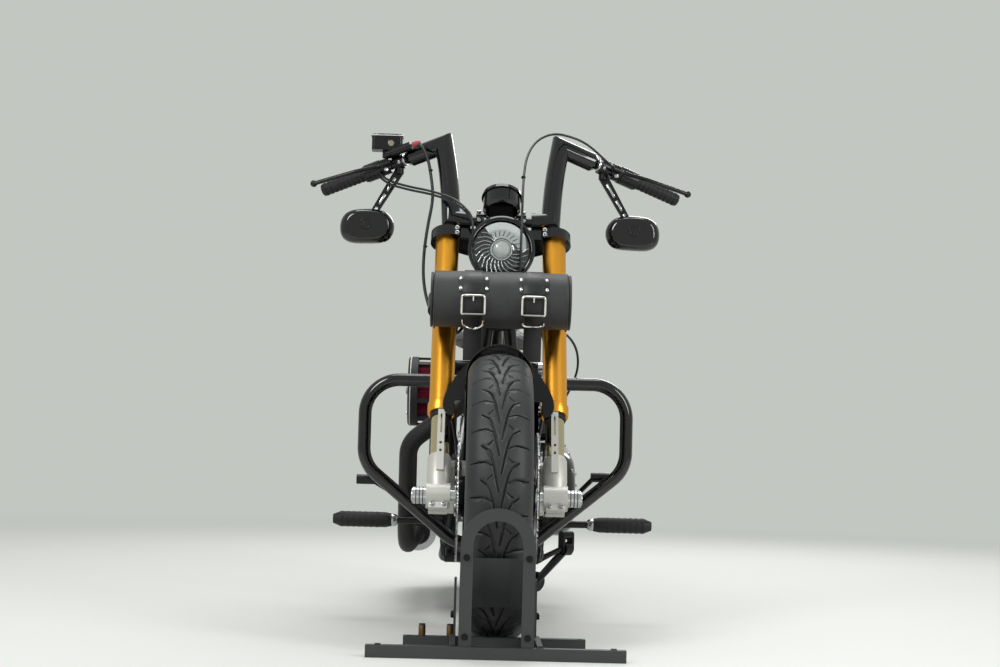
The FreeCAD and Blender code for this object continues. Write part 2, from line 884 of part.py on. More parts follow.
def make_fork_bottoms():
    """Axle castings with the guard strips and the lugs that carry the calipers."""
    body = axle_clamp_body()
    centre = caliper_centre()
    inner = fork_reach - caliper_lug_width
    root = V(inner, 0, casting_high / 2 - caliper_lug_height / 2)
    lug = plain_slab([root, V(inner, centre.y, centre.z - caliper_lug_height / 2),
                      V(inner, centre.y, centre.z + caliper_lug_height / 2),
                      V(inner, 0, casting_high - flange_width)], left * caliper_lug_width)
    body = fuse([body, guard_strip(), lug])
    socket = Part.makeCylinder(stanchion_radius + bore_gap, guard_strip_high,
                               V(fork_reach, 0, stanchion_low - bore_gap))
    slit = box_around(V(0, -spool_groove / 2, -casting_low * 2), V(axle_reach, spool_groove / 2, 0))
    bore = rod(start_point, left * axle_reach, front_axle_radius + bore_gap)
    body = to_fork(body.cut([socket, slit, bore]))
    save("fork_bottoms", [body, mirrored(body)])


def caliper(axle, centre, tangent_deg, disc_middle):
    """Caliper body round its middle, cut clear of the disc that turns through it."""
    half = caliper_length / 2
    thick = caliper_depth / 2
    corners = [V(-thick, -half, -caliper_height / 2), V(-thick, half, -caliper_height / 2),
               V(-thick, half, caliper_height / 2), V(-thick, -half, caliper_height / 2)]
    body = slab(corners, caliper_edge, left * caliper_depth)
    body.rotate(start_point, left, tangent_deg)
    body.translate(centre)
    slot_half = disc_thickness / 2 + disc_running_gap
    return body.cut(ring(axle + left * (disc_middle - slot_half), left,
                         disc_radius + disc_running_gap, 0, slot_half * 2))


def make_front_calipers():
    centre = caliper_centre()
    lug_inner = fork_reach - caliper_lug_width
    centre.x = lug_inner - caliper_depth / 2
    body = to_fork(caliper(start_point, centre, caliper_angle_deg - full_turn / 4, disc_spacing))
    save("front_calipers", [body, mirrored(body)])


def make_front_axle():
    """Axle with spacers inside the legs and grooved spools outside them."""
    bar = [rod(left * -axle_reach, left * axle_reach, front_axle_radius)]
    inner = disc_spacing + disc_thickness / 2 + spool_groove
    legs = fork_reach - casting_width / 2
    for side in (-1, 1):
        bar.append(rod(left * side * inner, left * side * legs, spacer_radius))
        spool = fork_reach + casting_width / 2
        rib = (axle_reach - spool) / 4
        for step in range(4):
            low = left * side * (spool + rib * step)
            high = left * side * (spool + rib * (step + 1) - spool_groove)
            bar.append(rod(low, high, spool_radius))
            bar.append(rod(high, high + left * side * spool_groove, spool_radius - spool_groove))
    save("front_axle", [to_fork(fuse(bar))])


def clamp_plate(low, high, ring_radius):
    """Fork clamp: two rings and a waisted web that carries the centre boss."""
    thick = up * (high - low)
    parts = []
    for side in (-1, 1):
        centre = V(side * fork_reach, 0, low)
        parts.append(rod(centre, centre + thick, ring_radius))
    boss = V(0, stem_behind, low)
    parts.append(rod(boss, boss + thick, clamp_boss_radius))
    waist = ring_radius * clamp_web_share
    web = [V(-fork_reach, -waist, low), V(fork_reach, -waist, low),
           V(fork_reach, waist, low), V(clamp_boss_radius, stem_behind + waist, low),
           V(-clamp_boss_radius, stem_behind + waist, low), V(-fork_reach, waist, low)]
    parts.append(plain_slab(web, thick))
    bores = []
    for side in (-1, 1):
        base = V(side * fork_reach, 0, low - overrun)
        bores.append(Part.makeCylinder(outer_tube_radius + bore_gap, high - low + overrun * 2,
                                       base))
    return fuse(parts).cut(bores)


def make_clamps():
    top = clamp_plate(top_clamp_low, top_clamp_high, clamp_ring_radius)
    top = top.cut(rod(V(0, stem_behind, top_clamp_low - overrun),
                      V(0, stem_behind, top_clamp_high + overrun), stem_radius + bore_gap))
    save("top_clamp", [to_fork(top)])
    stem_end = top_clamp_high + stem_nut_height + flange_width
    stem = rod(V(0, stem_behind, bottom_clamp_low), V(0, stem_behind, stem_end), stem_radius)
    bottom = fuse([clamp_plate(bottom_clamp_low, bottom_clamp_high, clamp_ring_radius), stem])
    save("bottom_clamp", [to_fork(bottom)])
    nut_base = V(0, stem_behind, top_clamp_high)
    nut = ring(nut_base, up, stem_nut_radius, stem_radius + bore_gap, stem_nut_height)
    caps = [to_fork(nut)]
    for side in (-1, 1):
        base = V(side * fork_reach, 0, outer_tube_high)
        caps.append(to_fork(turned([(0, 0), (0, cap_radius), (cap_height / 2, cap_radius),
                                    (cap_height, cap_radius * clamp_web_share),
                                    (cap_height, 0)], base, up)))
    save("fork_caps", caps)


# Handlebar and what it carries

def bar_corner():
    return at(bar_corner_reach, bar_back, bar_height)


def bar_top():
    return at(bar_top_reach, bar_top_back, bar_top_height)


def bar_end():
    return at(bar_end_reach, bar_end_back, bar_end_height)


def along_bar(share):
    """Point on the outer part of the left bar, from the top mitre to its end."""
    return bar_top() + (bar_end() - bar_top()) * share


def bar_direction():
    return (bar_end() - bar_top()).normalize()


def bar_upright():
    """Points up the bowed riser part of the bar."""
    low = bar_corner()
    high = bar_top()
    points = []
    for step in range(1, bar_bow_steps):
        share = step / bar_bow_steps
        bow = left * -bar_bow * math.sin(math.pi * share)
        points.append(low + (high - low) * share + bow)
    return [low] + points + [high]


def bar_side():
    """Fat mitred half of the bar with its cone and the thin end for the controls."""
    fat_end = along_bar(bar_fat_end_share)
    run = [at(bar_clamp_reach, bar_back, bar_height)] + bar_upright() + [fat_end]
    fat = mitred_tube(run, bar_fat_radius)
    cone_end = fat_end + bar_direction() * bar_cone_length
    cone = taper(fat_end, cone_end, bar_fat_radius, bar_clamp_radius)
    return fuse([fat, cone, rod(fat_end, bar_end(), bar_clamp_radius)])


def make_handlebar():
    centre = rod(at(-bar_clamp_reach - overrun, bar_back, bar_height),
                 at(bar_clamp_reach + overrun, bar_back, bar_height), bar_clamp_radius)
    side = bar_side()
    save("handlebar", [fuse([centre, side, mirrored(side)])])


def make_bar_risers():
    """Two risers with split clamps round the middle of the bar."""
    bar = at(0, bar_back, bar_height)
    offset = bar - front_axle
    behind = offset.y * math.cos(rake) - offset.z * math.sin(rake)
    along = offset.y * math.sin(rake) + offset.z * math.cos(rake)
    half = riser_clamp_width / 2
    post = rod(V(riser_offset, behind, top_clamp_high), V(riser_offset, behind, along),
               riser_radius)
    clamp = rod(V(riser_offset - half, behind, along), V(riser_offset + half, behind, along),
                riser_clamp_radius)
    bore = rod(V(0, behind, along), V(bar_corner_reach, behind, along),
               bar_clamp_radius + bore_gap)
    split = box_around(V(0, behind - riser_clamp_radius * 2, along - spool_groove / 2),
                       V(bar_corner_reach, behind - bar_clamp_radius, along + spool_groove / 2))
    riser = to_fork(fuse([post, clamp]).cut([bore, split]))
    save("bar_risers", [riser, mirrored(riser)])


def bar_sleeve(far_share_end, length, radius):
    """Sleeve round the thin bar, ending a given length inboard of a point on it."""
    end = far_share_end
    start = end - bar_direction() * length
    return rod(start, end, radius).cut(rod(start - bar_direction() * overrun,
                                           end + bar_direction() * overrun,
                                           bar_clamp_radius + bore_gap))


def grip_inner():
    return bar_end() - bar_direction() * grip_length


def make_grips():
    """Grips with an inner flange and raised rings."""
    start = grip_inner()
    profile = [(0, 0), (0, grip_flange_radius), (grip_flange_length, grip_flange_radius)]
    pitch = (grip_length - grip_flange_length) / grip_rib_count
    for index in range(grip_rib_count):
        low = grip_flange_length + index * pitch
        profile += [(low, grip_radius - grip_rib), (low + pitch / 2, grip_radius - grip_rib),
                    (low + pitch / 2, grip_radius), (low + pitch, grip_radius)]
    tail = grip_length + plate_thickness
    profile += [(tail, grip_radius - grip_rib), (tail, 0)]
    grip = turned(profile, start, bar_direction())
    grip = grip.cut(rod(start - bar_direction() * overrun, bar_end() + bar_direction() * bore_gap,
                        bar_clamp_radius + bore_gap))
    save("grips", [grip, mirrored(grip)])


def perch_end():
    return grip_inner() - bar_direction() * (switch_length + seat_gap * 2)


def lever_pivot():
    return perch_end() - bar_direction() * perch_length / 2 - rearward * lever_ahead


def bar_control(with_reservoir):
    """Switch housing and lever perch of one side, in place on the left bar."""
    switch = bar_sleeve(grip_inner() - bar_direction() * seat_gap, switch_length, switch_radius)
    perch = bar_sleeve(perch_end() + bar_direction() * seat_gap, perch_length, perch_radius)
    middle = perch_end() - bar_direction() * perch_length / 2
    arm = rod(middle - rearward * (bar_clamp_radius + flange_width), lever_pivot(),
              perch_length / 2)
    parts = [switch, perch, arm]
    if with_reservoir:
        parts += [reservoir(), master_cylinder(middle)]
    return fuse(parts)


def master_cylinder(middle):
    """Brake cylinder under the reservoir, running inboard to the hose's banjo."""
    start = middle - rearward * master_ahead + up * master_lift
    return rod(start, start - bar_direction() * master_length, master_radius)


def reservoir():
    """Brake fluid reservoir that stands on the perch, with a lid."""
    centre = perch_end() - bar_direction() * perch_length / 2 + up * reservoir_lift
    half = V(reservoir_length / 2, reservoir_depth / 2, 0)
    base = centre - rearward * lever_ahead / 2
    corners = [base + V(-half.x, -half.y, 0), base + V(half.x, -half.y, 0),
               base + V(half.x, half.y, 0), base + V(-half.x, half.y, 0)]
    body = slab(corners, reservoir_edge, up * (reservoir_height - plate_thickness * 2))
    lid_corners = [corner + (corner - base).normalize() * spool_groove
                   + up * (reservoir_height - plate_thickness * 2) for corner in corners]
    lid = slab(lid_corners, reservoir_edge, up * plate_thickness)
    neck = rod(base - up * reservoir_lift / 2, base + up * flange_width, perch_length / 2)
    return fuse([body, lid, neck])


def make_bar_controls():
    save("clutch_controls", [bar_control(False)])
    save("brake_controls", [mirrored(bar_control(True))])


def make_levers():
    """Brake and clutch levers, dog-legged and ending in a ball."""
    root = lever_pivot() - rearward * (lever_radius + seat_gap)
    tip = V(lever_reach, root.y + lever_ahead / 2,
            (bar_end() + bar_direction() * overrun).z + lever_drop)
    start = root - bar_direction() * perch_length / 2
    elbow = root + bar_direction() * perch_length
    middle = elbow + (tip - elbow) * lever_elbow_share - rearward * lever_ahead / 4
    blade = bent_tube([start, elbow, middle, tip], lever_radius, [lever_bend, lever_bend * 3])
    ball = Part.makeSphere(lever_ball_radius, tip)
    arm_end = lever_pivot() - rearward * seat_gap
    clear = rod(arm_end + rearward * lever_ahead, arm_end, perch_length)
    lever = fuse([blade.cut(clear), ball])
    save("levers", [lever, mirrored(lever)])


def mirror_root():
    share = (mirror_root_reach - bar_top_reach) / (bar_end_reach - bar_top_reach)
    return along_bar(share)


def mirror_head():
    return at(mirror_head_reach, mirror_head_back, mirror_head_height)


def make_mirrors():
    """Mirrors hung below the bar: flat arms, drop shaped shells and glasses."""
    root = mirror_root() - up * mirror_arm_drop
    head = mirror_head()
    run = head - root
    across = run.cross(rearward).normalize() * mirror_arm_width / 2
    thick = rearward * mirror_arm_thickness
    narrow = mirror_ball_radius / mirror_arm_width * 2
    corners = [root - across, root + across, head + across * narrow * clamp_web_share,
               head - across * narrow * clamp_web_share]
    corners = [corner - thick / 2 for corner in corners]
    slots = []
    for low, high in mirror_slot_shares:
        start = root + run * low
        end = root + run * high
        slots.append(plain_slab([start - across / 3 - thick, start + across / 3 - thick,
                                 end + across / 4 - thick, end - across / 4 - thick],
                                thick * 2))
    arm = plain_slab(corners, thick).cut(slots)
    band = bar_sleeve(mirror_root() + bar_direction() * mirror_arm_width / 2, mirror_arm_width,
                      perch_radius)
    post = rod(mirror_root() - up * (bar_clamp_radius + spool_groove), root - up * flange_width,
               mirror_arm_width / 2)
    arm = fuse([arm, band, post])
    shell = mirror_shell(head)
    glass = mirror_glass(head)
    arm = arm.cut([mirror_body(head), rod(bar_top(), bar_end(), bar_clamp_radius + bore_gap)])
    save("mirror_arms", [arm, mirrored(arm)])
    save("mirror_shells", [shell, mirrored(shell)])
    save("mirror_glasses", [glass, mirrored(glass)])


def mirror_outline(head, scale, behind):
    """Drop shaped outline of the mirror head, wider towards the bike's middle."""
    points = []
    for across, high in mirror_outline_shares:
        points.append(head + V(-across * mirror_width * scale, behind,
                               high * mirror_height * scale))
    curve = Part.BSplineCurve()
    curve.interpolate(Points=points, PeriodicFlag=True)
    return Part.Wire(curve.toShape())


def mirror_body(head):
    """Whole domed head, from its rounded front to its rear rim."""
    rim = mirror_depth / 2
    wires = [mirror_outline(head, mirror_nose_share, -rim),
             mirror_outline(head, mirror_cheek_share, -rim / 2),
             mirror_outline(head, 1, rim / 2),
             mirror_outline(head, 1, rim)]
    return Part.makeLoft(wires, True)


def mirror_glass(head):
    scale = 1 - mirror_glass_inset / mirror_height
    face = Part.Face(mirror_outline(head, scale, mirror_depth / 2 - mirror_glass_thickness))
    return face.extrude(rearward * mirror_glass_thickness)


def mirror_shell(head):
    scale = 1 - mirror_glass_inset / mirror_height
    pocket = Part.Face(mirror_outline(head, scale, mirror_depth / 2 - mirror_glass_thickness))
    return mirror_body(head).cut(pocket.extrude(rearward * overrun))


# Headlight and speedometer

def make_headlight():
    """Bullet shell, bezel ring, finned light unit and domed lens."""
    front = at(0, lamp_front_back, lamp_height)
    shell_radius = lamp_radius - lamp_wall
    back = lamp_depth - lamp_ring_depth
    inner = shell_radius - lamp_wall
    profile = [(0, inner), (0, shell_radius), (back * lamp_shoulder_share, shell_radius),
               (back * lamp_cheek_share, shell_radius * lamp_dome_share),
               (back, lamp_hub_radius), (back, 0), (back - lamp_wall, 0),
               (back - lamp_wall, lamp_hub_radius - lamp_wall),
               (back * lamp_cheek_share - lamp_wall, shell_radius * lamp_dome_share - lamp_wall),
               (back * lamp_shoulder_share, inner)]
    shell = turned(profile, front + rearward * lamp_ring_depth, rearward)
    save("headlight_shell", [fuse([shell, lamp_post(front, inner)])])
    bezel = turned([(0, lamp_radius - lamp_ring_width), (0, lamp_radius - lamp_ring_width / 2),
                    (lamp_ring_width / 2, lamp_radius), (lamp_ring_depth, lamp_radius),
                    (lamp_ring_depth, lamp_radius - lamp_ring_width)], front, rearward)
    save("headlight_bezel", [bezel])
    save("headlight_unit", [lamp_unit(front)])
    rim = lamp_radius - lamp_ring_width - seat_gap
    lens = turned([(0, 0), (lens_bulge / 2, rim * lamp_dome_share), (lens_bulge, rim),
                   (lens_bulge + lens_thickness, rim), (lens_thickness + lens_bulge / 2,
                                                        rim * lamp_dome_share),
                   (lens_thickness, 0)], front, rearward)
    save("headlight_lens", [lens])


def lamp_post(front, inner):
    """Stub below the shell that stands on the lower fork clamp."""
    behind = lamp_post_radius - clamp_ring_radius * clamp_web_share
    post = rod(fork_point(0, behind, bottom_clamp_high),
               fork_point(0, behind, bottom_clamp_high + lamp_radius), lamp_post_radius)
    return post.cut(rod(front, front + rearward * lamp_depth, inner))


def lamp_unit(front):
    """Light unit: a dish with a round centre lens and swirled fins."""
    start = front + rearward * (lens_bulge + lens_thickness + seat_gap)
    rim = lamp_radius - lamp_ring_width - seat_gap
    floor = lamp_fin_depth + lamp_wall
    dish = turned([(floor, 0), (floor, rim - lamp_wall * 2), (0, rim - lamp_wall), (0, rim),
                   (lamp_ring_depth, rim), (lamp_unit_depth, rim * lamp_dome_share),
                   (lamp_unit_depth, 0)], start, rearward)
    hub = rod(start + rearward * lamp_wall, start + rearward * (floor + lamp_wall),
              lamp_hub_radius)
    low = lamp_hub_radius + lamp_wall
    high = rim - lamp_ring_width - lamp_wall
    fin = plain_slab([V(-lamp_fin_thickness / 2, flange_width, low),
                      V(lamp_fin_thickness / 2, flange_width, low),
                      V(lamp_fin_thickness / 2 + lamp_fin_sweep, flange_width, high),
                      V(-lamp_fin_thickness / 2 + lamp_fin_sweep, flange_width, high)],
                     rearward * lamp_fin_depth)
    fin.translate(start)
    return fuse([dish, hub] + spun_copies(fin, start, rearward, lamp_fin_count))


def make_speedometer():
    """Round gauge that faces up and back, on a stub from the middle of the bar."""
    centre = at(0, gauge_back, gauge_height)
    axis = (fork_point(0, 0, 1) - fork_point(0, 0, 0)).normalize()
    profile = [(-gauge_depth / 2, 0), (-gauge_depth / 2, gauge_radius * lamp_cheek_share),
               (-gauge_depth / 2 + flange_width, gauge_radius - gauge_ring),
               (gauge_depth / 2 - gauge_ring_depth, gauge_radius - gauge_ring),
               (gauge_depth / 2 - gauge_ring_depth, gauge_radius),
               (gauge_depth / 2, gauge_radius - gauge_ring / 2),
               (gauge_depth / 2, gauge_radius - gauge_ring * 2),
               (gauge_depth / 2 - gauge_glass_drop, gauge_radius - gauge_ring * 2),
               (gauge_depth / 2 - gauge_glass_drop, 0)]
    can = turned(profile, centre, axis)
    bar = at(0, bar_back, bar_height)
    stalk = rod(centre, bar, gauge_stalk_radius)
    stalk = stalk.cut(rod(bar - left * gauge_radius, bar + left * gauge_radius, bar_clamp_radius))
    save("speedometer", [fuse([can, stalk])])


# Tool roll

def roll_centre():
    """Axis of the roll, resting on the front of the two legs."""
    along = (roll_height - front_tyre_radius) / math.cos(rake)
    back = along * math.sin(rake) - (outer_tube_radius + roll_stand_off + roll_radius) / math.cos(rake)
    return at(0, back, roll_height)


def make_tool_roll():
    centre = roll_centre()
    half = roll_length / 2
    profile = [(-half, 0), (-half, roll_radius - roll_end_round),
               (-half + roll_end_round, roll_radius), (half - roll_end_round, roll_radius),
               (half, roll_radius - roll_end_round), (half, 0)]
    save("tool_roll", [turned(profile, centre, left)])


def strap(reach):
    """Strap looped round the roll, with its tail hanging below."""
    centre = roll_centre() + left * reach
    loop = ring(centre - left * strap_width / 2, left, roll_radius + seat_gap + strap_thickness,
                roll_radius + seat_gap, strap_width)
    tail_high = centre - up * (roll_radius + seat_gap)
    tail = box_around(tail_high - V(strap_tail_width / 2, 0, strap_tail_drop),
                      tail_high + V(strap_tail_width / 2, strap_thickness, 0))
    tail = tail.cut(rod(centre - left * roll_length, centre + left * roll_length,
                        roll_radius + seat_gap))
    legs = [rod(fork_point(side * fork_reach, 0, 0), fork_point(side * fork_reach, 0,
                                                                 outer_tube_high),
                outer_tube_radius + seat_gap) for side in (-1, 1)]
    return fuse([loop, tail]).cut(legs)


def buckle(reach):
    """Wire frame buckle with its tongue, on the front of the strap."""
    centre = roll_centre() + left * reach
    out = roll_radius + strap_thickness + seat_gap * 2 + buckle_wire
    half_wide = buckle_width / 2
    half_tall = buckle_height / 2
    corners = [V(-half_wide, -out, -half_tall), V(half_wide, -out, -half_tall),
               V(half_wide, -out, half_tall), V(-half_wide, -out, half_tall)]
    frame = plain_ring(corners)
    bar = rod(V(-half_wide, -out, 0), V(half_wide, -out, 0), buckle_wire)
    tongue = rod(V(0, -out - buckle_wire, 0), V(0, -out, -half_tall), buckle_wire * 3 / 4)
    body = fuse([frame, bar, tongue])
    body.rotate(start_point, left, -buckle_turn_deg)
    body.translate(centre)
    return body


def plain_ring(corners):
    """Round wire bent into a rounded rectangle."""
    loop = rounded_loop(corners, buckle_wire * 3)
    first = loop.Edges[1]
    start = first.Vertexes[0].Point
    direction = first.tangentAt(first.FirstParameter)
    section = Part.Wire(Part.makeCircle(buckle_wire, start, direction))
    return loop.makePipeShell([section], True, False)


def make_straps():
    save("bag_straps", [strap(strap_left_reach), strap(-strap_right_reach)])
    save("bag_buckles", [buckle(strap_left_reach), buckle(-strap_right_reach)])


# Fenders

def bow(half_width, base, top):
    """Arched curve over the tyre between two side points."""
    curve = Part.BSplineCurve()
    points = [V(half_width * math.cos(math.pi * share), 0,
                base + (top - base) * math.sin(math.pi * share)) for share in bow_shares]
    curve.interpolate(Points=points)
    return curve.toShape()


def fender(axle, top_radius, half_width, side_drop, skin, front_deg, rear_deg):
    """Arched skin swept round the wheel from the front to the rear edge."""
    base = top_radius - side_drop
    outer = bow(half_width, base, top_radius)
    inner = bow(half_width - skin, base, top_radius - skin)
    left_edge = Part.LineSegment(V(half_width - skin, 0, base), V(half_width, 0, base)).toShape()
    right_edge = Part.LineSegment(V(-half_width, 0, base), V(skin - half_width, 0, base)).toShape()
    section = Part.Wire(Part.__sortEdges__([outer, right_edge, inner, left_edge]))
    face = Part.Face(section)
    face.rotate(start_point, left, -front_deg)
    shell = face.revolve(start_point, left, front_deg - rear_deg)
    shell.translate(axle)
    return shell


def filled_fender(axle, top_radius, half_width, side_drop):
    """Whole ring under the fender's outer face, for trimming what lies on it."""
    base = top_radius - side_drop
    outer = bow(half_width, base, top_radius)
    close = Part.LineSegment(V(-half_width, 0, base), V(half_width, 0, base)).toShape()
    face = Part.Face(Part.Wire(Part.__sortEdges__([outer, close])))
    whole = face.revolve(start_point, left, full_turn)
    whole.translate(axle)
    return whole


def make_front_fender():
    top = front_tyre_radius + fender_gap + fender_skin
    save("front_fender", [fender(front_axle, top, fender_half_width, fender_side_drop,
                                 fender_skin, fender_front_deg, fender_rear_deg)])
    inside = filled_fender(front_axle, top, fender_half_width, fender_side_drop)
    face = strip_face() - plate_thickness
    high = math.sqrt(top ** 2 - face ** 2) + plate_top_width
    right = [V(x * plate_reach, face, plate_low + (high - plate_low) * z)
             for x, z in plate_shares]
    outline = right + [V(-point.x, face, point.z) for point in reversed(right[:-1])]
    curve = Part.BSplineCurve()
    curve.interpolate(Points=outline)
    edges = [curve.toShape(), Part.LineSegment(outline[-1], outline[0]).toShape()]
    plate = Part.Face(Part.Wire(edges)).extrude(rearward * plate_thickness)
    window = box_around(V(-fender_half_width, face - overrun, 0),
                        V(fender_half_width, face + overrun, plate_tab_high + overrun * 2))
    legs = box_around(V(-plate_leg_inner, face - overrun, 0),
                      V(plate_leg_inner, face + overrun, plate_leg_high))
    plate = to_fork(plate.cut([window, legs])).cut(inside)
    save("fender_plates", [plate])


def make_rear_fender():
    top = rear_tyre_radius + rear_fender_gap + fender_skin
    shell = fender(rear_axle, top, rear_fender_half_width, rear_fender_side_drop, fender_skin,
                   rear_fender_front_deg, rear_fender_rear_deg)
    save("rear_fender", [shell])


# Chock

def make_wheel_chock():
    """Floor chock: two cross bars, side rails, a round-topped hoop and a bent trough."""
    front_y = front_axle.y - chock_front_ahead
    rear_y = front_axle.y - chock_rear_ahead
    parts = []
    for y, reach in ((front_y, chock_front_reach), (rear_y, chock_rear_reach)):
        parts.append(box_around(V(-reach, y - chock_bar / 2, 0), V(reach, y + chock_bar / 2,
                                                                   chock_bar)))
    rail_inner = front_tyre_width / 2 + chock_rail_inset
    for side in (-1, 1):
        low = min(side * rail_inner, side * (rail_inner + chock_rail_width))
        parts.append(box_around(V(low, front_y, 0),
                                V(low + chock_rail_width, rear_y, chock_rail_height)))
        cheek_low = min(side * rail_inner, side * (rail_inner + chock_cheek_wall))
        cheek = [V(cheek_low, rear_y - chock_cheek_length / 2, 0),
                 V(cheek_low, rear_y + chock_cheek_length / 2, 0),
                 V(cheek_low, rear_y + chock_cheek_length / 3, chock_cheek_high),
                 V(cheek_low, rear_y - chock_cheek_length / 3, chock_cheek_high)]
        parts.append(plain_slab(cheek, left * chock_cheek_wall))
    parts.append(chock_hoop(front_y - chock_hoop_depth / 2))
    parts.append(chock_trough(front_y + chock_hoop_depth / 2))
    parts.extend(chock_pins(rear_y, front_y))
    holes = []
    for side in (-1, 1):
        foot = V(side * (chock_rear_reach - chock_bar / 2), rear_y, 0)
        holes.append(rod(foot - up * overrun, foot + up * overrun * 2, chock_bolt_radius))
    save("wheel_chock", [fuse(parts).cut(holes)])


def hoop_plate(y, reach, height, depth):
    """Upright plate with a half-round top."""
    low = [V(reach, y, 0), V(reach, y, height - reach)]
    crown = Part.Arc(low[1], V(0, y, height), V(-reach, y, height - reach)).toShape()
    edges = [Part.LineSegment(low[0], low[1]).toShape(), crown,
             Part.LineSegment(V(-reach, y, height - reach), V(-reach, y, 0)).toShape(),
             Part.LineSegment(V(-reach, y, 0), low[0]).toShape()]
    return Part.Face(Part.Wire(edges)).extrude(rearward * depth)


def chock_hoop(y):
    outer = hoop_plate(y, chock_hoop_reach, chock_hoop_height, chock_hoop_depth)
    inner = hoop_plate(y - overrun, chock_hoop_reach - chock_hoop_face,
                       chock_hoop_height - chock_hoop_face, chock_hoop_depth + overrun * 2)
    return outer.cut(inner)


def tyre_front_at(height):
    """How far the tyre's tread reaches ahead of the axle at a height."""
    return math.sqrt(front_tyre_radius ** 2 - (front_tyre_radius - height) ** 2)


def chock_trough(y):
    """Three flat plates that follow the slope of the tyre's lower front."""
    reach = chock_hoop_reach - chock_hoop_face / 2
    gap = chock_tyre_gap + chock_trough_wall
    low_y = front_axle.y - tyre_front_at(chock_trough_low) - gap
    high_y = front_axle.y - tyre_front_at(chock_trough_high) - gap
    run = V(0, high_y - low_y, chock_trough_high - chock_trough_low)
    half = chock_trough_flat / 2
    wing = V(0, chock_trough_wing, 0)
    wall = rearward * chock_trough_wall
    centre = V(0, low_y, chock_trough_low)
    outline = [centre + left * reach - wing, centre + left * half, centre - left * half,
               centre - left * reach - wing]
    inner = [point + wall for point in reversed(outline)]
    trough = plain_slab(outline + inner, run)
    shelf_y = front_axle.y - tyre_front_at(chock_trough_low) - gap
    props = []
    for side in (-1, 1):
        x = side * (chock_hoop_reach - chock_hoop_face / 2)
        props.append(box_around(V(min(x, x + side * chock_trough_wall), y, 0),
                                V(max(x, x + side * chock_trough_wall),
                                  shelf_y - chock_trough_wing + chock_trough_wall,
                                  chock_trough_low + chock_bar)))
    return fuse([trough] + props)


def chock_pins(rear_y, front_y):
    """Round pins that stand on the rear bar, and bolt heads on the front one."""
    pins = []
    for step in range(2):
        foot = V(-chock_pin_reach + chock_pin_pitch * (step + 1), rear_y, chock_bar)
        pins.append(rod(foot - up * chock_bar / 2, foot + up * chock_pin_height,
                        chock_pin_radius))
    for side in (-1, 1):
        foot = V(side * (chock_front_reach - chock_bar), front_y, chock_bar)
        pins.append(rod(foot - up * chock_bar / 2, foot + up * chock_bolt_radius / 2,
                        chock_bolt_radius))
    return pins


# Frame

def neck_tube():
    """Steering neck between the two fork clamps, bored for the stem."""
    low = V(0, stem_behind, bottom_clamp_high + neck_end_gap)
    high = V(0, stem_behind, top_clamp_low - neck_end_gap)
    return to_fork(rod(low, high, neck_radius)), to_fork(
        rod(low - up * overrun, high + up * overrun, stem_radius + neck_bore_gap))


def backbone_points():
    return [at(0, neck_top_back, backbone_front_height),
            at(0, backbone_end_back, backbone_end_height),
            at(0, post_top_back, post_top_height)]


def shock_top():
    """Upper eye of the left shock, level with the rear rail."""
    start = at(rail_spread, post_top_back - rail_radius, post_top_height)
    run = rail_end() - start
    share = (from_rear(0, shock_high_ahead, 0).y - start.y) / run.y
    point = start + run * share
    return V(shock_spread, point.y, point.z)


def rail_end():
    """End of the rear rail, where its cross tube rests on the rear fender."""
    reach = rear_tyre_radius + rear_fender_gap + fender_skin + rail_radius + seat_gap
    lift = math.sqrt(reach ** 2 - rail_end_ahead ** 2)
    return from_rear(rail_spread, rail_end_ahead, rear_tyre_radius + lift)


def frame_side():
    """Left half of the cradle, the seat post and the rear rail."""
    top = at(downtube_spread / 4, downtube_top_back, downtube_top_height)
    mid = at(downtube_spread, downtube_mid_back, downtube_mid_height)
    low = at(cradle_spread, cradle_front_back, cradle_front_height)
    run = [top, mid, low, at(cradle_spread, cradle_rear_back, cradle_height)]
    down = bent_tube(run[:3] + [run[3]], tube_radius, [tube_bend, tube_bend])
    pivot = at(cradle_spread, pivot_back, pivot_height)
    post = bent_tube([at(cradle_spread, cradle_rear_back - tube_radius, cradle_height),
                      pivot, at(rail_spread, post_top_back, post_top_height)],
                     tube_radius, [tube_bend * 2])
    rail = rod(at(rail_spread, post_top_back - rail_radius, post_top_height),
               rail_end(), rail_radius)
    plate = slab([at(cradle_spread - pivot_plate_thickness / 2, pivot_back - pivot_radius * 2,
                     pivot_height - pivot_radius * 4),
                  at(cradle_spread - pivot_plate_thickness / 2, pivot_back + pivot_radius * 2,
                     pivot_height - pivot_radius * 4),
                  at(cradle_spread - pivot_plate_thickness / 2, pivot_back + pivot_radius,
                     pivot_height + pivot_radius * 3),
                  at(cradle_spread - pivot_plate_thickness / 2, pivot_back - pivot_radius,
                     pivot_height + pivot_radius * 3)], pivot_radius / 2,
                 left * pivot_plate_thickness)
    return [down, post, rail, plate]


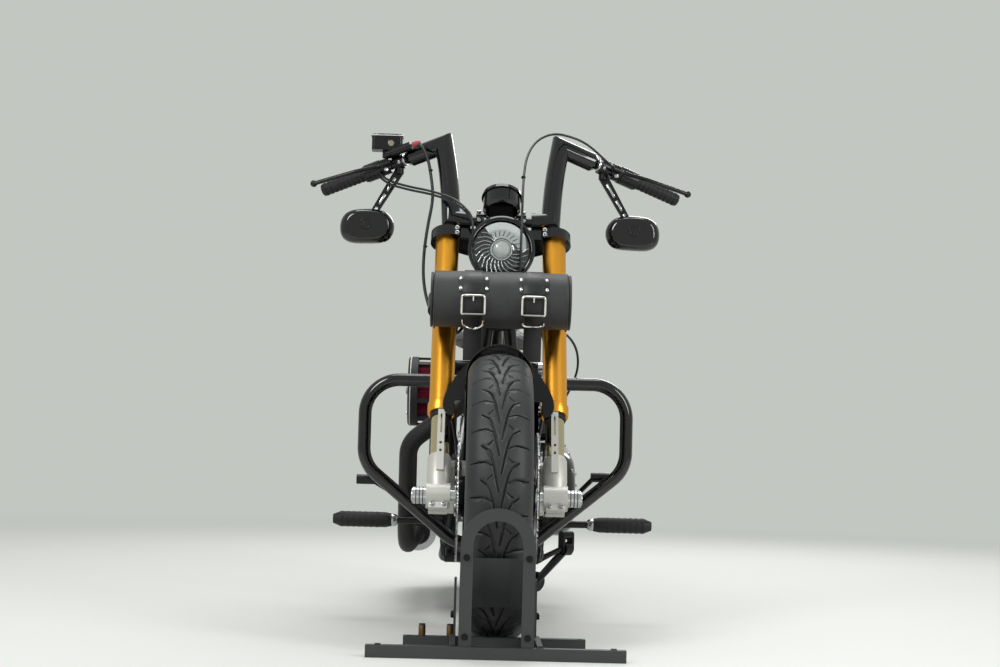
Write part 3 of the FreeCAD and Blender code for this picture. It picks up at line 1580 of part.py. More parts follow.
def make_frame():
    """Twin-cradle frame with a single backbone under the tank."""
    neck, stem_bore = neck_tube()
    half = frame_side()
    points = backbone_points()
    parts = [neck, bent_tube(points, backbone_radius, [tube_bend])]
    parts += half + [mirrored(shape) for shape in half]
    for back, height, spread in ((cradle_front_back + overrun, cradle_front_height, cradle_spread),
                                 (cradle_rear_back - tube_bend, cradle_height, cradle_spread),
                                 (post_top_back, post_top_height, rail_spread)):
        parts.append(rod(at(-spread, back, height), at(spread, back, height), tube_radius))
    end = rail_end()
    parts.append(rod(V(-end.x, end.y, end.z), end, rail_radius))
    tunnel = math.sqrt((backbone_radius + tank_tunnel_gap) ** 2 - tank_mount_radius ** 2) - seat_gap
    for share in tank_mount_shares:
        middle = points[0] + (points[1] - points[0]) * share
        parts.append(rod(middle - left * tunnel, middle + left * tunnel, tank_mount_radius))
    for side in (-1, 1):
        eye = shock_top()
        seat = V(side * (eye.x - shock_eye_half - seat_gap), eye.y, eye.z)
        parts.append(rod(V(side * rail_spread, eye.y, eye.z), seat, shock_lug_radius))
    parts.append(stand_bracket())
    pivot = rod(at(-pivot_half_width, pivot_back, pivot_height),
                at(pivot_half_width, pivot_back, pivot_height), pivot_radius + bore_gap)
    frame = fuse(parts).cut([stem_bore, pivot])
    save("frame", [frame])
    return frame


def guard_points():
    """Left half of the engine guard, from the downtube round to the frame's foot."""
    return [at(downtube_spread / 2, guard_back, guard_top_height),
            at(guard_reach, guard_back, guard_top_height),
            at(guard_reach, guard_back, guard_corner_height),
            at(guard_low_reach, guard_back, guard_low_height)]


def make_engine_guard(frame):
    """Tube guard round both sides of the engine, one loop a side."""
    side = guard_points()
    other = [V(-point.x, point.y, point.z) for point in reversed(side)]
    run = side + other
    guard = bent_tube(run, guard_radius, even_bends(run, guard_bend))
    joint = rod(at(-guard_reach / 2, guard_back, guard_top_height),
                at(guard_reach / 2, guard_back, guard_top_height), guard_radius)
    brace = rod(at(0, guard_back, guard_low_height), at(0, cradle_front_back, cradle_front_height),
                tube_radius)
    guard = fuse([guard, joint, brace])
    save("engine_guard", [guard.cut(frame)])


# Engine

def bank_direction(bank):
    angle = math.radians(bank * bank_half_deg)
    return V(0, math.sin(angle), math.cos(angle))


def crank():
    return at(0, crank_back, crank_height)


def make_engine(frame):
    """Crankcase and gearbox, two finned barrels with their heads, and rocker covers."""
    case = crankcase()
    barrels = []
    rockers = []
    for bank in (-1, 1):
        barrels.append(barrel(bank).cut([case, bank_side(-bank)]))
        rockers.append(rocker_cover(bank))
    save("crankcase", [case.cut(frame)])
    save("cylinders", barrels)
    save("rocker_covers", rockers)
    rods = pushrods()
    save("pushrod_tubes", [shape.cut([case] + barrels + rockers) for shape in rods])
    return barrels


def crankcase():
    """Round crankcase and gearbox with a flat deck and the cam cover on the right."""
    width = left * case_half_width * 2
    centre = crank() - left * case_half_width
    gearbox = at(-case_half_width, gearbox_back, gearbox_height)
    parts = [rod(centre, centre + width, case_radius), rod(gearbox, gearbox + width,
                                                           gearbox_radius)]
    low = crank_height - case_radius
    web = plain_slab([at(-case_half_width, crank_back, low),
                      at(-case_half_width, gearbox_back, gearbox_height - gearbox_radius),
                      at(-case_half_width, gearbox_back, gearbox_height + gearbox_radius),
                      at(-case_half_width, crank_back, crank_height + case_radius)], width)
    sump_side = -case_half_width * sump_width_share
    sump_front = crank_back - case_radius * sump_reach_share
    sump = slab([at(sump_side, sump_front, low - flange_width),
                 at(sump_side, gearbox_back, low - flange_width),
                 at(sump_side, gearbox_back, low + overrun * 2),
                 at(sump_side, sump_front, low + overrun * 2)],
                flange_width, width * sump_width_share)
    cam = slab([at(-case_half_width - cam_cover_depth, crank_back - cam_cover_reach,
                   crank_height - flange_width),
                at(-case_half_width - cam_cover_depth, crank_back,
                   crank_height - case_radius * lamp_dome_share),
                at(-case_half_width - cam_cover_depth, crank_back + cam_cover_reach,
                   crank_height - flange_width),
                at(-case_half_width - cam_cover_depth, crank_back + cam_cover_reach * 3 / 4,
                   crank_height + case_radius * lamp_dome_share),
                at(-case_half_width - cam_cover_depth, crank_back - cam_cover_reach * 3 / 4,
                   crank_height + case_radius * lamp_dome_share)], reservoir_edge * 2,
               left * cam_cover_depth * 2)
    feet = []
    for side in (-1, 1):
        for back in (crank_back - case_radius / 2, gearbox_back):
            foot = at(side * case_half_width * foot_width_share, back, cradle_height)
            feet.append(rod(foot, foot + up * case_radius, mount_bar_radius))
            feet.append(rod(at(0, back, cradle_height), at(side * cradle_spread, back,
                                                           cradle_height), mount_bar_radius))
    nose = crank() - left * (case_half_width + cam_cover_depth)
    timer = rod(nose - left * derby_depth, nose + left * derby_depth, cap_radius * 3 / 2)
    return fuse(parts + [web, sump, cam, timer] + feet)


def fin_plate(base, half):
    """Square cooling fin with rounded corners."""
    plate = slab([V(-half, -half, 0), V(half, -half, 0), V(half, half, 0), V(-half, half, 0)],
                 fin_corner, up * fin_thickness)
    plate.translate(up * base)
    return plate


def barrel(bank):
    """Cylinder and head of one bank, with their stacks of fins."""
    core = Part.makeCylinder(barrel_radius, head_high - barrel_low, up * barrel_low)
    parts = [core]
    pitch = (barrel_high - barrel_low - fin_thickness * 4) / fin_count
    for index in range(fin_count):
        parts.append(fin_plate(barrel_low + fin_thickness * 4 + index * pitch, fin_half))
    core_half = head_half * head_core_share
    head = slab([V(-core_half, -core_half, barrel_high), V(core_half, -core_half, barrel_high),
                 V(core_half, core_half, barrel_high), V(-core_half, core_half, barrel_high)],
                fin_corner / 2, up * (head_high - barrel_high))
    parts.append(head)
    head_pitch = (head_high - barrel_high) / head_fin_count
    for index in range(head_fin_count):
        parts.append(fin_plate(barrel_high + (index + head_fin_lift_share) * head_pitch,
                               head_half + fin_thickness))
    shape = fuse(parts)
    shape.rotate(start_point, left, -bank * bank_half_deg)
    shape.translate(crank())
    return shape


def fin_block(bank):
    """Plain block round one bank's fins, which the header pipes stop at."""
    half = head_half + fin_thickness + seat_gap
    block = box_around(V(-half, -half, barrel_low), V(half, half, head_high))
    block.rotate(start_point, left, -bank * bank_half_deg)
    block.translate(crank())
    return block


def bank_side(bank):
    """All the space on one side of the plane between the banks, less half the gap there."""
    reach = fin_half * 2
    near = crank() + rearward * bank * (-seat_gap)
    far = crank() + rearward * bank * head_high
    low = V(-reach, min(near.y, far.y), near.z)
    return box_around(low, V(reach, max(near.y, far.y), near.z + head_high))


def rocker_cover(bank):
    """Stacked rocker boxes on the head, with a smaller domed lid."""
    parts = []
    for low, high, scale in rocker_level_shares:
        wide = rocker_half_width * scale
        deep = rocker_half_length * scale
        base = head_high + rocker_height * low
        parts.append(slab([V(-wide, -deep, base), V(wide, -deep, base), V(wide, deep, base),
                           V(-wide, deep, base)], rocker_edge * scale,
                          up * rocker_height * (high - low)))
    shape = fuse(parts)
    shape.rotate(start_point, left, -bank * bank_half_deg)
    shape.translate(crank())
    return shape


def pushrods():
    """Four tubes from the cam cover up to the rocker boxes."""
    tubes = []
    for bank in (-1, 1):
        direction = bank_direction(bank)
        along = V(0, direction.z, -direction.y)
        for side in (-1, 1):
            low = crank() - left * pushrod_low_side + direction * pushrod_low_rise
            low = low + along * side * pushrod_low_spread
            high = crank() - left * pushrod_high_side + direction * head_high
            high = high + along * side * pushrod_spread
            tubes.append(rod(low, high, pushrod_radius))
    return tubes


def capsule(centre_a, radius_a, centre_b, radius_b, thickness):
    """Plate of two round ends joined by their outer tangents, seen from the side."""
    parts = [rod(centre_a, centre_a + thickness, radius_a),
             rod(centre_b, centre_b + thickness, radius_b)]
    run = centre_b - centre_a
    swing = math.acos((radius_a - radius_b) / run.Length)
    heading = math.atan2(run.z, run.y)
    corners = []
    for side in (1, -1):
        angle = heading + side * swing
        out = V(0, math.cos(angle), math.sin(angle))
        pair = [centre_a + out * radius_a, centre_b + out * radius_b]
        corners += pair if side == 1 else pair[::-1]
    parts.append(plain_slab(corners, thickness))
    return fuse(parts)


def make_primary_cover():
    """Long domed primary drive cover with a round clutch lid."""
    inner = primary_inner + seat_gap
    front = at(inner, crank_back - overrun, primary_height)
    rear = at(inner, gearbox_back - tube_bend / 2, primary_height + flange_width)
    body = capsule(front, primary_front_radius, rear, primary_rear_radius, left * primary_depth)
    rim = [edge for edge in body.Edges
           if edge.BoundBox.XMin > inner + primary_depth - seat_gap]
    body = body.makeFillet(primary_round, rim)
    lid = turned([(0, 0), (0, derby_radius), (derby_depth / 2, derby_radius),
                  (derby_depth, derby_radius - derby_depth), (derby_depth, 0)],
                 rear + left * primary_depth, left)
    return fuse([body, lid])


def make_air_cleaner(barrels):
    """Open round air cleaner: slotted cover over a pleated filter, with its intake."""
    centre = at(-cleaner_inner, cleaner_back, cleaner_height)
    out = -left
    end = centre + out * cleaner_depth
    back_plate = rod(centre, centre + out * cleaner_plate, cleaner_radius)
    cup = turned([(0, 0), (0, cleaner_radius - cleaner_plate / 2),
                  (cleaner_plate / 2, cleaner_radius), (cleaner_band, cleaner_radius),
                  (cleaner_band, cleaner_radius - cleaner_plate),
                  (cleaner_plate, cleaner_radius - cleaner_plate), (cleaner_plate, 0)], end, left)
    post = box_around(V(cleaner_band - cleaner_depth - cleaner_plate / 2, -cleaner_slot_width / 2,
                        cleaner_radius - cleaner_plate + spool_groove / 2),
                      V(-cleaner_plate / 2, cleaner_slot_width / 2, cleaner_radius - spool_groove))
    post.translate(centre)
    posts = spun_copies(post, centre, left, cleaner_slot_count)
    intake = rod(at(0, cleaner_back, cleaner_height), centre + out * cleaner_plate / 2,
                 intake_radius).cut(barrels)
    save("air_cleaner", [fuse([back_plate, cup, intake] + posts)])
    pleated = rod(centre + out * cleaner_plate, end + left * cleaner_plate,
                  cleaner_radius - cleaner_filter_inset)
    save("air_filter", [pleated])


def exhaust():
    """Two header pipes that join into one muffler low on the right."""
    front_port = crank() + bank_direction(-1) * (barrel_high + pipe_radius)
    rear_port = crank() + bank_direction(1) * (barrel_high + pipe_radius)
    join = at(-muffler_reach, muffler_start_back, muffler_height)
    out = -pipe_reach
    front = [front_port - rearward * (head_half - pipe_radius) - left * overrun,
             V(out * header_out_share, front_port.y - head_half * 2, front_port.z - overrun),
             V(out, front_port.y - header_bow_ahead, front_port.z - head_half * 2),
             V(out, front_port.y - head_half, pipe_low),
             join + rearward * overrun]
    pipe = bent_tube(front, pipe_radius, [port_bend, pipe_bend, pipe_bend])
    rear = [rear_port + rearward * (head_half - pipe_radius) - left * overrun,
            V(-rear_pipe_reach, rear_port.y + rear_pipe_behind, rear_port.z - overrun),
            V(-rear_pipe_reach, rear_port.y + head_half, gearbox_height),
            join + rearward * rear_pipe_join]
    second = bent_tube(rear, pipe_radius, [port_bend, pipe_bend])
    start = join - rearward * overrun
    end = at(-muffler_reach, muffler_end_back, muffler_height)
    length = end.y - start.y
    body = turned([(0, 0), (0, pipe_radius + flange_width), (tube_bend, muffler_radius),
                   (length - overrun, muffler_radius), (length, muffler_radius - flange_width),
                   (length, muffler_outlet_radius), (length - tube_bend, muffler_outlet_radius),
                   (length - tube_bend, 0)], start, rearward)
    return fuse([pipe, second, body])


# Tank, seat and covers

def rounded_section(centre, half_width, low, high):
    """Closed curve of a tank or seat section, flatter below."""
    points = []
    for across, tall in section_shares:
        points.append(V(across * half_width, centre.y, low + (high - low) * tall))
    other = [V(-point.x, point.y, point.z) for point in reversed(points[1:-1])]
    curve = Part.BSplineCurve()
    curve.interpolate(Points=points + other, PeriodicFlag=True)
    return Part.Wire(curve.toShape())


def make_fuel_tank():
    """Slim peanut tank, tunnelled for the backbone, with its round cap."""
    wires = []
    for along, wide, low, high in tank_stations_shares:
        back = tank_front_back + (tank_rear_back - tank_front_back) * along
        tall = tank_top_height - tank_bottom_height
        wires.append(rounded_section(at(0, back, 0), tank_half_width * wide,
                                     tank_bottom_height + tall * low,
                                     tank_bottom_height + tall * high))
    tank = Part.makeLoft(wires, True)
    points = backbone_points()
    reach = backbone_radius + tank_tunnel_gap
    start = points[0] - (points[1] - points[0])
    tunnel = rod(start, points[1] + (points[1] - points[0]), reach)
    slot = plain_slab([start - left * reach, points[1] * 2 - points[0] - left * reach,
                       points[1] * 2 - points[0] - left * reach - up * tank_top_height,
                       start - left * reach - up * tank_top_height], left * reach * 2)
    tank = tank.cut([tunnel, slot])
    cap_at = at(0, tank_front_back + (tank_rear_back - tank_front_back) * tank_cap_share,
                tank_top_height - tank_cap_height * 2)
    cap = turned([(0, 0), (0, tank_cap_radius), (tank_cap_height * 2, tank_cap_radius),
                  (tank_cap_height * 3, tank_cap_top_radius), (tank_cap_height * 3, 0)],
                 cap_at, up)
    save("fuel_tank", [tank.cut(cap)])
    save("tank_cap", [cap])


def make_seat():
    """Solo seat with a kicked-up rear edge."""
    wires = []
    for along, wide, low, high in seat_stations_shares:
        back = seat_front_back + (seat_rear_back - seat_front_back) * along
        wires.append(rounded_section(at(0, back, 0), seat_half_width * wide,
                                     seat_height + seat_thickness * low,
                                     seat_height + seat_thickness * high))
    save("seat", [Part.makeLoft(wires, True)])


def side_cover(frame):
    """Oil tank on the right and battery cover on the left, rounded boxes."""
    corners = [at(cover_inner, cover_back - cover_length / 2, cover_height - cover_tall / 2),
               at(cover_inner, cover_back + cover_length / 2, cover_height - cover_tall / 2),
               at(cover_inner, cover_back + cover_length / 2, cover_height + cover_tall / 2),
               at(cover_inner, cover_back - cover_length / 2, cover_height + cover_tall / 2)]
    body = slab(corners, cover_edge, left * (cover_depth - cover_edge / 2))
    step = cover_edge / 3
    raised = [at(cover_inner, cover_back - cover_length / 2 + step,
                 cover_height - cover_tall / 2 + step),
              at(cover_inner, cover_back + cover_length / 2 - step,
                 cover_height - cover_tall / 2 + step),
              at(cover_inner, cover_back + cover_length / 2 - step,
                 cover_height + cover_tall / 2 - step),
              at(cover_inner, cover_back - cover_length / 2 + step,
                 cover_height + cover_tall / 2 - step)]
    face = slab(raised, cover_edge - step, left * cover_depth)
    stud_at = at(cover_inner, post_top_back + cover_edge, cover_height)
    stud = rod(stud_at, stud_at - left * (cover_inner - rail_spread), cover_stud_radius)
    return fuse([body, face, stud.cut(frame)])


# Rear suspension and drive

def make_swingarm():
    """Two box arms with a pivot tube, a cross tube and the rear axle through their ends."""
    parts = [rod(at(-pivot_half_width, pivot_back, pivot_height),
                 at(pivot_half_width, pivot_back, pivot_height), pivot_radius)]
    for side in (-1, 1):
        inner = side * arm_spread - arm_width / 2
        pivot = at(inner, pivot_back, pivot_height)
        axle = V(inner, rear_axle.y, rear_axle.z)
        parts.append(capsule(pivot, arm_pivot_radius, axle, arm_axle_radius, left * arm_width))
    cross_y = rear_axle.y - arm_cross_ahead
    share = (rear_axle.y - cross_y) / (rear_axle.y - at(0, pivot_back, 0).y)
    cross_z = rear_axle.z + (pivot_height - rear_axle.z) * share
    parts.append(rod(V(-arm_spread, cross_y, cross_z), V(arm_spread, cross_y, cross_z),
                     tube_radius))
    parts.append(rod(rear_axle - left * rear_axle_reach, rear_axle + left * rear_axle_reach,
                     rear_axle_radius))
    for side in (-1, 1):
        eye = from_rear(side * shock_spread, shock_low_ahead, shock_low_height)
        lug = rod(eye - up * arm_height, eye, arm_width / 2)
        parts.append(lug.cut(rod(eye - left * arm_width, eye + left * arm_width,
                                 shock_eye_radius + seat_gap)))
    parts.append(rear_caliper())
    return fuse(parts)


def rear_caliper():
    """Rear caliper over its disc, on a plate and a foot that join it to the left arm."""
    middle = rear_disc_reach + disc_thickness / 2
    reach = disc_radius - disc_track / 2
    lean = math.radians(rear_caliper_lean_deg)
    centre = rear_axle + V(middle, -reach * math.sin(lean), reach * math.cos(lean))
    body = caliper(rear_axle, centre, rear_caliper_lean_deg, middle)
    face = centre.x + caliper_depth / 2 - flange_width
    plate = box_around(V(face, centre.y - rear_bracket_half, rear_axle.z),
                       V(face + pivot_plate_thickness, centre.y + rear_bracket_half, centre.z))
    foot = box_around(V(face, centre.y - rear_bracket_half, rear_axle.z),
                      V(arm_spread, centre.y + rear_bracket_half, rear_axle.z + arm_height / 2))
    return fuse([body, plate, foot])


def shock():
    """Left shock: eyes, rod, a spring drawn as stacked coils and a shroud over its top."""
    low = from_rear(shock_spread, shock_low_ahead, shock_low_height)
    high = shock_top()
    axis = (high - low).normalize()
    length = (high - low).Length
    eye = left * shock_eye_half
    start = shock_eye_radius - spool_groove
    cover = length * shock_body_share
    pitch = (cover - start) / spring_turns
    profile = [(start, 0), (start, spring_radius)]
    for index in range(spring_turns):
        low_edge = start + index * pitch
        profile += [(low_edge + pitch / 4, spring_radius),
                    (low_edge + pitch / 2, spring_radius - spring_wire),
                    (low_edge + pitch * 3 / 4, spring_radius - spring_wire),
                    (low_edge + pitch, spring_radius)]
    profile += [(cover + spring_wire, shock_body_radius), (length - start, shock_body_radius),
                (length - start, 0)]
    return fuse([rod(low - eye, low + eye, shock_eye_radius),
                 rod(high - eye, high + eye, shock_eye_radius),
                 rod(low, high, shock_rod_radius), turned(profile, low, axis)])


def make_drive_belt():
    """Toothed belt from the gearbox pulley to the rear wheel, as two tangent runs."""
    front = at(-belt_reach - belt_width / 2, gearbox_back, gearbox_height)
    rear = rear_axle - left * (belt_reach + belt_width / 2)
    width = left * (belt_width - plate_thickness)
    outer = capsule(front, front_pulley_radius + belt_thickness, rear,
                    rear_pulley_radius + belt_thickness, width)
    inner = capsule(front - left * overrun, front_pulley_radius, rear - left * overrun,
                    rear_pulley_radius + seat_gap, width + left * overrun * 2)
    return outer.cut(inner)


# Guard rails, feet and stand

def make_foot_controls(frame):
    """Forward plates, pegs, brake pedal on the right and shift lever on the left."""
    root = at(cradle_spread + tube_radius / 2, peg_back, peg_height)
    nodes = []
    for side, reach, height in ((1, shift_reach, shift_height), (-1, pedal_reach, pedal_height)):
        plate = rod(root, root + left * control_plate_thickness * 2, control_plate_radius)
        arm = rod(root, at(peg_root_reach, peg_back, peg_height), peg_boss_radius)
        drop = rod(root, at(cradle_spread, cradle_front_back, cradle_front_height), peg_boss_radius)
        shank_x = reach - pedal_arm_width * 2
        shank = rod(at(root.x + control_plate_thickness, peg_back, peg_height),
                    at(shank_x, pedal_back, height), pedal_arm_width / 3)
        pad = rod(at(shank_x - pedal_arm_width / 2, pedal_back, height),
                  at(reach, pedal_back, height), pedal_pad_radius)
        shape = fuse([plate, arm, drop, shank, pad]).cut(frame)
        nodes.append(shape if side == 1 else mirrored(shape))
    return nodes


def make_pegs():
    """Round rubber pegs that taper to their ends."""
    start = at(peg_root_reach, peg_back, peg_height)
    length = peg_tip_reach - peg_root_reach
    peg = turned([(0, 0), (0, peg_root_radius), (peg_radius, peg_radius),
                  (length - peg_radius, peg_radius), (length, peg_tip_radius), (length, 0)],
                 start, left)
    save("footpegs", [peg, mirrored(peg)])


def stand_hinge():
    """Pivot point, hinge axis and opening angle of the side stand."""
    fold = V(*stand_fold_shares).normalize()
    down = V(*stand_down_shares).normalize()
    return (at(stand_reach, stand_back, stand_height), fold.cross(down).normalize(),
            math.degrees(fold.getAngle(down)), down)


def make_side_stand():
    """Side stand shaped as it stands on the ground, then folded up under the frame."""
    pivot, axis, opening_deg, down = stand_hinge()
    end = pivot + down * stand_length
    leg = taper(pivot, end, stand_radius, stand_tip_radius)
    eye = rod(pivot - axis * stand_radius, pivot + axis * stand_radius, stand_eye_radius)
    foot = rod(end - up * stand_foot_thickness / 2, end + up * stand_foot_thickness / 2,
               stand_foot_radius)
    bore = rod(pivot - axis * overrun, pivot + axis * overrun, stand_pin_radius + bore_gap)
    stand = fuse([leg, eye, foot]).cut(bore)
    stand.rotate(pivot, axis, -opening_deg)
    save("side_stand", [stand])


def stand_bracket():
    """Yoke over the stand's eye with its pin, carried by a stay from the cradle tube."""
    hinge = stand_hinge()
    pivot, axis = hinge[0], hinge[1]
    near = stand_radius + seat_gap
    far = near + flange_width
    parts = [rod(pivot - axis * far, pivot + axis * far, stand_pin_radius)]
    top = pivot + up * (stand_eye_radius + stand_yoke_gap)
    parts.append(rod(top - axis * far, top + axis * far, stand_radius))
    for side in (-1, 1):
        parts.append(capsule_about(pivot, top, axis * side, near, far))
    stay = pivot + axis * far
    for spread in (-1, 1):
        parts.append(rod(stay,
                         at(cradle_spread, stand_back + spread * stand_stay_spread, cradle_height),
                         stand_stay_radius))
    return fuse(parts)


def capsule_about(pivot, top, axis, near, far):
    """Ear of the yoke: two round ends with a flat plate between them, square to the axis."""
    across = axis.cross(up).normalize() * stand_radius
    base = axis * near
    corners = [pivot + across + base, top + across + base, top - across + base,
               pivot - across + base]
    return fuse([rod(pivot + base, pivot + axis * far, stand_radius),
                 plain_slab(corners, axis * (far - near))])


# Rear lamps and small pieces

def make_tail_lamps():
    """Two round lamps on stalks from the rear rails."""
    base = rail_end() - left * bore_gap
    stalk_end = base + left * overrun * 2
    lamp = turned([(0, 0), (0, signal_base_radius), (signal_length / 2, signal_radius),
                   (signal_length, signal_radius), (signal_length, 0)],
                  stalk_end + left * signal_radius / 2, rearward)
    stalk = rod(base, stalk_end + left * signal_radius / 2 + rearward * signal_length / 3,
                lamp_bar_radius)
    body = fuse([lamp, stalk])
    return [body, mirrored(body)]


def make_regulator():
    """Finned regulator between the downtubes."""
    centre = at(0, downtube_mid_back - overrun, downtube_mid_height - tube_bend)
    half = V(regulator_width / 2, 0, regulator_height / 2)
    corners = [centre + V(-half.x, 0, -half.z), centre + V(half.x, 0, -half.z),
               centre + V(half.x, 0, half.z), centre + V(-half.x, 0, half.z)]
    parts = [slab(corners, flange_width, rearward * regulator_depth / 2)]
    pitch = regulator_width / regulator_fin_count
    for index in range(regulator_fin_count):
        low = centre + V(-half.x + pitch / 4 + index * pitch, -regulator_depth / 2, -half.z)
        parts.append(box_around(low, low + V(pitch / 2, regulator_depth * 3 / 4, half.z * 2)))
    return fuse(parts)


def line_points(points):
    """Left-side points of a line, given as reach, back and height."""
    return [at(x, back, height) for x, back, height in points]


def perch_points(side, points):
    """Points given from the inner end of the left or right lever perch."""
    end = perch_end()
    return [V(side * end.x + x, end.y + back, end.z + height) for x, back, height in points]


def make_control_lines():
    """Brake hoses, two throttle cables and the upper clutch cable, on the steered side."""
    middle = perch_end() - bar_direction() * perch_length / 2
    master = perch_points(-1, master_hose_start) + line_points(master_hose_route)
    hoses = [hanging_tube(master, brake_hose_radius)]
    left_hose = [fork_point(x, behind, along) for x, behind, along in caliper_hose_route]
    lower = hanging_tube(left_hose, brake_hose_radius)
    hoses += [lower, mirrored(lower)]
    throttle = perch_points(-1, throttle_start) + line_points(throttle_route)
    for step in range(2):
        shift = up * step * throttle_cable_pitch
        hoses.append(hanging_tube([point + shift for point in throttle], cable_radius))
    clutch = perch_points(1, clutch_start) + line_points(clutch_route)
    hoses.append(hanging_tube(clutch, cable_radius))
    seats = [rod(grip_inner(), perch_end(), switch_radius + seat_gap),
             rod(middle, lever_pivot(), perch_length / 2 + seat_gap)]
    seats += [mirrored(shape) for shape in seats]
    save("control_lines", [hose.cut(seats) for hose in hoses])


def make_clutch_cable():
    """Lower clutch cable, from the neck out in a loop and down to the primary cover."""
    save("clutch_cable", [hanging_tube(line_points(clutch_lower_route), cable_radius)])


def make_chassis():
    frame = make_frame()
    make_engine_guard(frame)
    barrels = make_engine(frame)
    save("primary_cover", [make_primary_cover()])
    make_air_cleaner(barrels)
    save("exhaust", [exhaust().cut([fin_block(-1), fin_block(1)])])
    make_fuel_tank()
    make_seat()
    make_rear_fender()
    cover = side_cover(frame)
    save("side_covers", [cover, mirrored(cover)])
    save("swingarm", [make_swingarm()])
    left_shock = shock()
    save("shocks", [left_shock, mirrored(left_shock)])
    save("drive_belt", [make_drive_belt()])
    save("foot_controls", make_foot_controls(frame))
    make_pegs()
    make_side_stand()
    save("tail_lamps", [lamp.cut(frame) for lamp in make_tail_lamps()])
    save("regulator", [make_regulator()])
    make_clutch_cable()


def make_front_end():
    make_fork_tubes()
    make_fork_stanchions()
    make_fork_bottoms()
    make_front_calipers()
    make_front_axle()
    make_clamps()
    make_handlebar()
    make_bar_risers()
    make_grips()
    make_bar_controls()
    make_levers()
    make_mirrors()
    make_headlight()
    make_speedometer()
    make_tool_roll()
    make_straps()
    make_front_fender()
    make_control_lines()
    make_wheel_chock()


os.makedirs("parts", exist_ok=True)
make_front_wheel()
make_front_end()
make_rear_wheel()
make_chassis()
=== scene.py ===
import bmesh
import bpy
import math
from mathutils import Matrix, Vector, noise


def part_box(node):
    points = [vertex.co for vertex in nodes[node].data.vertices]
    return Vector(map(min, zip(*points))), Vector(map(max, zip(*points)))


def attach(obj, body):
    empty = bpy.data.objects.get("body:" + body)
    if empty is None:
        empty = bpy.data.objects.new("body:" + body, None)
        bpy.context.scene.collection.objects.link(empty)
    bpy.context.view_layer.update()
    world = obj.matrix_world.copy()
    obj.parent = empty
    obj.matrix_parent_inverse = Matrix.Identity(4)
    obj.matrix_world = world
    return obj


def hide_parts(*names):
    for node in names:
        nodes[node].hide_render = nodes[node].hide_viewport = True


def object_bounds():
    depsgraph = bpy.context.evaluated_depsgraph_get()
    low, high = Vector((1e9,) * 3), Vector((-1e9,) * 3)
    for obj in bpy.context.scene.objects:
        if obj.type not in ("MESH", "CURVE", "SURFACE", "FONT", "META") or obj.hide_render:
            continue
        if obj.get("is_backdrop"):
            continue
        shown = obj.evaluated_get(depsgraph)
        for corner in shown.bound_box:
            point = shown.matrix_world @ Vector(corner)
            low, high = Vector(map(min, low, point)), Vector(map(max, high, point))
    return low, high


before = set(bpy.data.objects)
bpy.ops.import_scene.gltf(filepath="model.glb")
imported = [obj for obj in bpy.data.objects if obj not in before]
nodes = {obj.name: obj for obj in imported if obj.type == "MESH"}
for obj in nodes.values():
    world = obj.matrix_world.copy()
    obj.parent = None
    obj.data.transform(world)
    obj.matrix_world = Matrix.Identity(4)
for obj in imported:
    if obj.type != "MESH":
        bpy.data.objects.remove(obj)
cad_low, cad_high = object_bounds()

sides = (-1, 1)


def middle_of(node):
    """Middle of a CAD node's box."""
    low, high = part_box(node)
    return (low + high) / 2


front_axle = middle_of("front_axle")
rear_axle = middle_of("rear_tyre")


# Camera: a 64 mm view from 4 m ahead of the front axle and 0.42 m above the floor, tilted up and
# turned slightly to the machine's left, as the photograph was taken.
camera_ahead = 4
camera_height = 0.421
camera_right = 0.072
camera_pitch = math.radians(3.8)
camera_turn = math.radians(1)
camera_roll = math.radians(1.5)
bpy.ops.object.camera_add(location=(-camera_right, front_axle.y - camera_ahead, camera_height))
camera = bpy.context.object
camera.data.sensor_width = 36
camera.data.lens = 64.2
forward = Vector((math.sin(camera_turn) * math.cos(camera_pitch),
                  math.cos(camera_turn) * math.cos(camera_pitch), math.sin(camera_pitch)))
aim = forward.to_track_quat("-Z", "Y").to_matrix() @ Matrix.Rotation(camera_roll, 3, "Z")
camera.rotation_euler = aim.to_euler()
bpy.context.scene.camera = camera
bpy.context.scene.view_settings.view_transform = "Standard"


# Studio: a round cove of pale matt paper whose floor curves up into its wall, soft lamps above
# and at both sides, and a pale sky that metal and glass can mirror.
def linear(code):
    """Linear colour of an sRGB hex value."""
    parts = [int(code[place:place + 2], 16) / 255 for place in (1, 3, 5)]
    return tuple(part / 12.92 if part <= 0.04045 else ((part + 0.055) / 1.055) ** 2.4
                 for part in parts) + (1,)


def add_node(material, kind, values=None, links=None, **settings):
    """Adds a shader node with its socket values, incoming links and settings."""
    node = material.node_tree.nodes.new(kind)
    for name, value in settings.items():
        setattr(node, name, value)
    for socket, value in (values or {}).items():
        node.inputs[socket].default_value = value
    for socket, source in (links or {}).items():
        material.node_tree.links.new(source, node.inputs[socket])
    return node


def shader_of(material):
    return material.node_tree.nodes["Principled BSDF"]


def feed(material, source, socket):
    """Leads an output into a socket of the material's shader."""
    material.node_tree.links.new(source, shader_of(material).inputs[socket])


def object_noise(material, millimetres, detail=4):
    """Noise whose grain is the given size, fixed to the piece."""
    place = add_node(material, "ShaderNodeTexCoord")
    return add_node(material, "ShaderNodeTexNoise",
                    {"Scale": 1000 / millimetres, "Detail": detail},
                    {"Vector": place.outputs["Object"]}).outputs["Fac"]


def roughen(material, pattern, low, high):
    """Lets a pattern vary the roughness between two values."""
    span = add_node(material, "ShaderNodeMapRange", {"To Min": low, "To Max": high},
                    {"Value": pattern})
    feed(material, span.outputs["Result"], "Roughness")


def blend_colours(material, pattern, low, high):
    """Lets a pattern run the base colour between two hex colours."""
    factor, first, second, colour_out = 0, 6, 7, 2
    mix = add_node(material, "ShaderNodeMix", {first: linear(low), second: linear(high)},
                   {factor: pattern}, data_type="RGBA")
    feed(material, mix.outputs[colour_out], "Base Color")


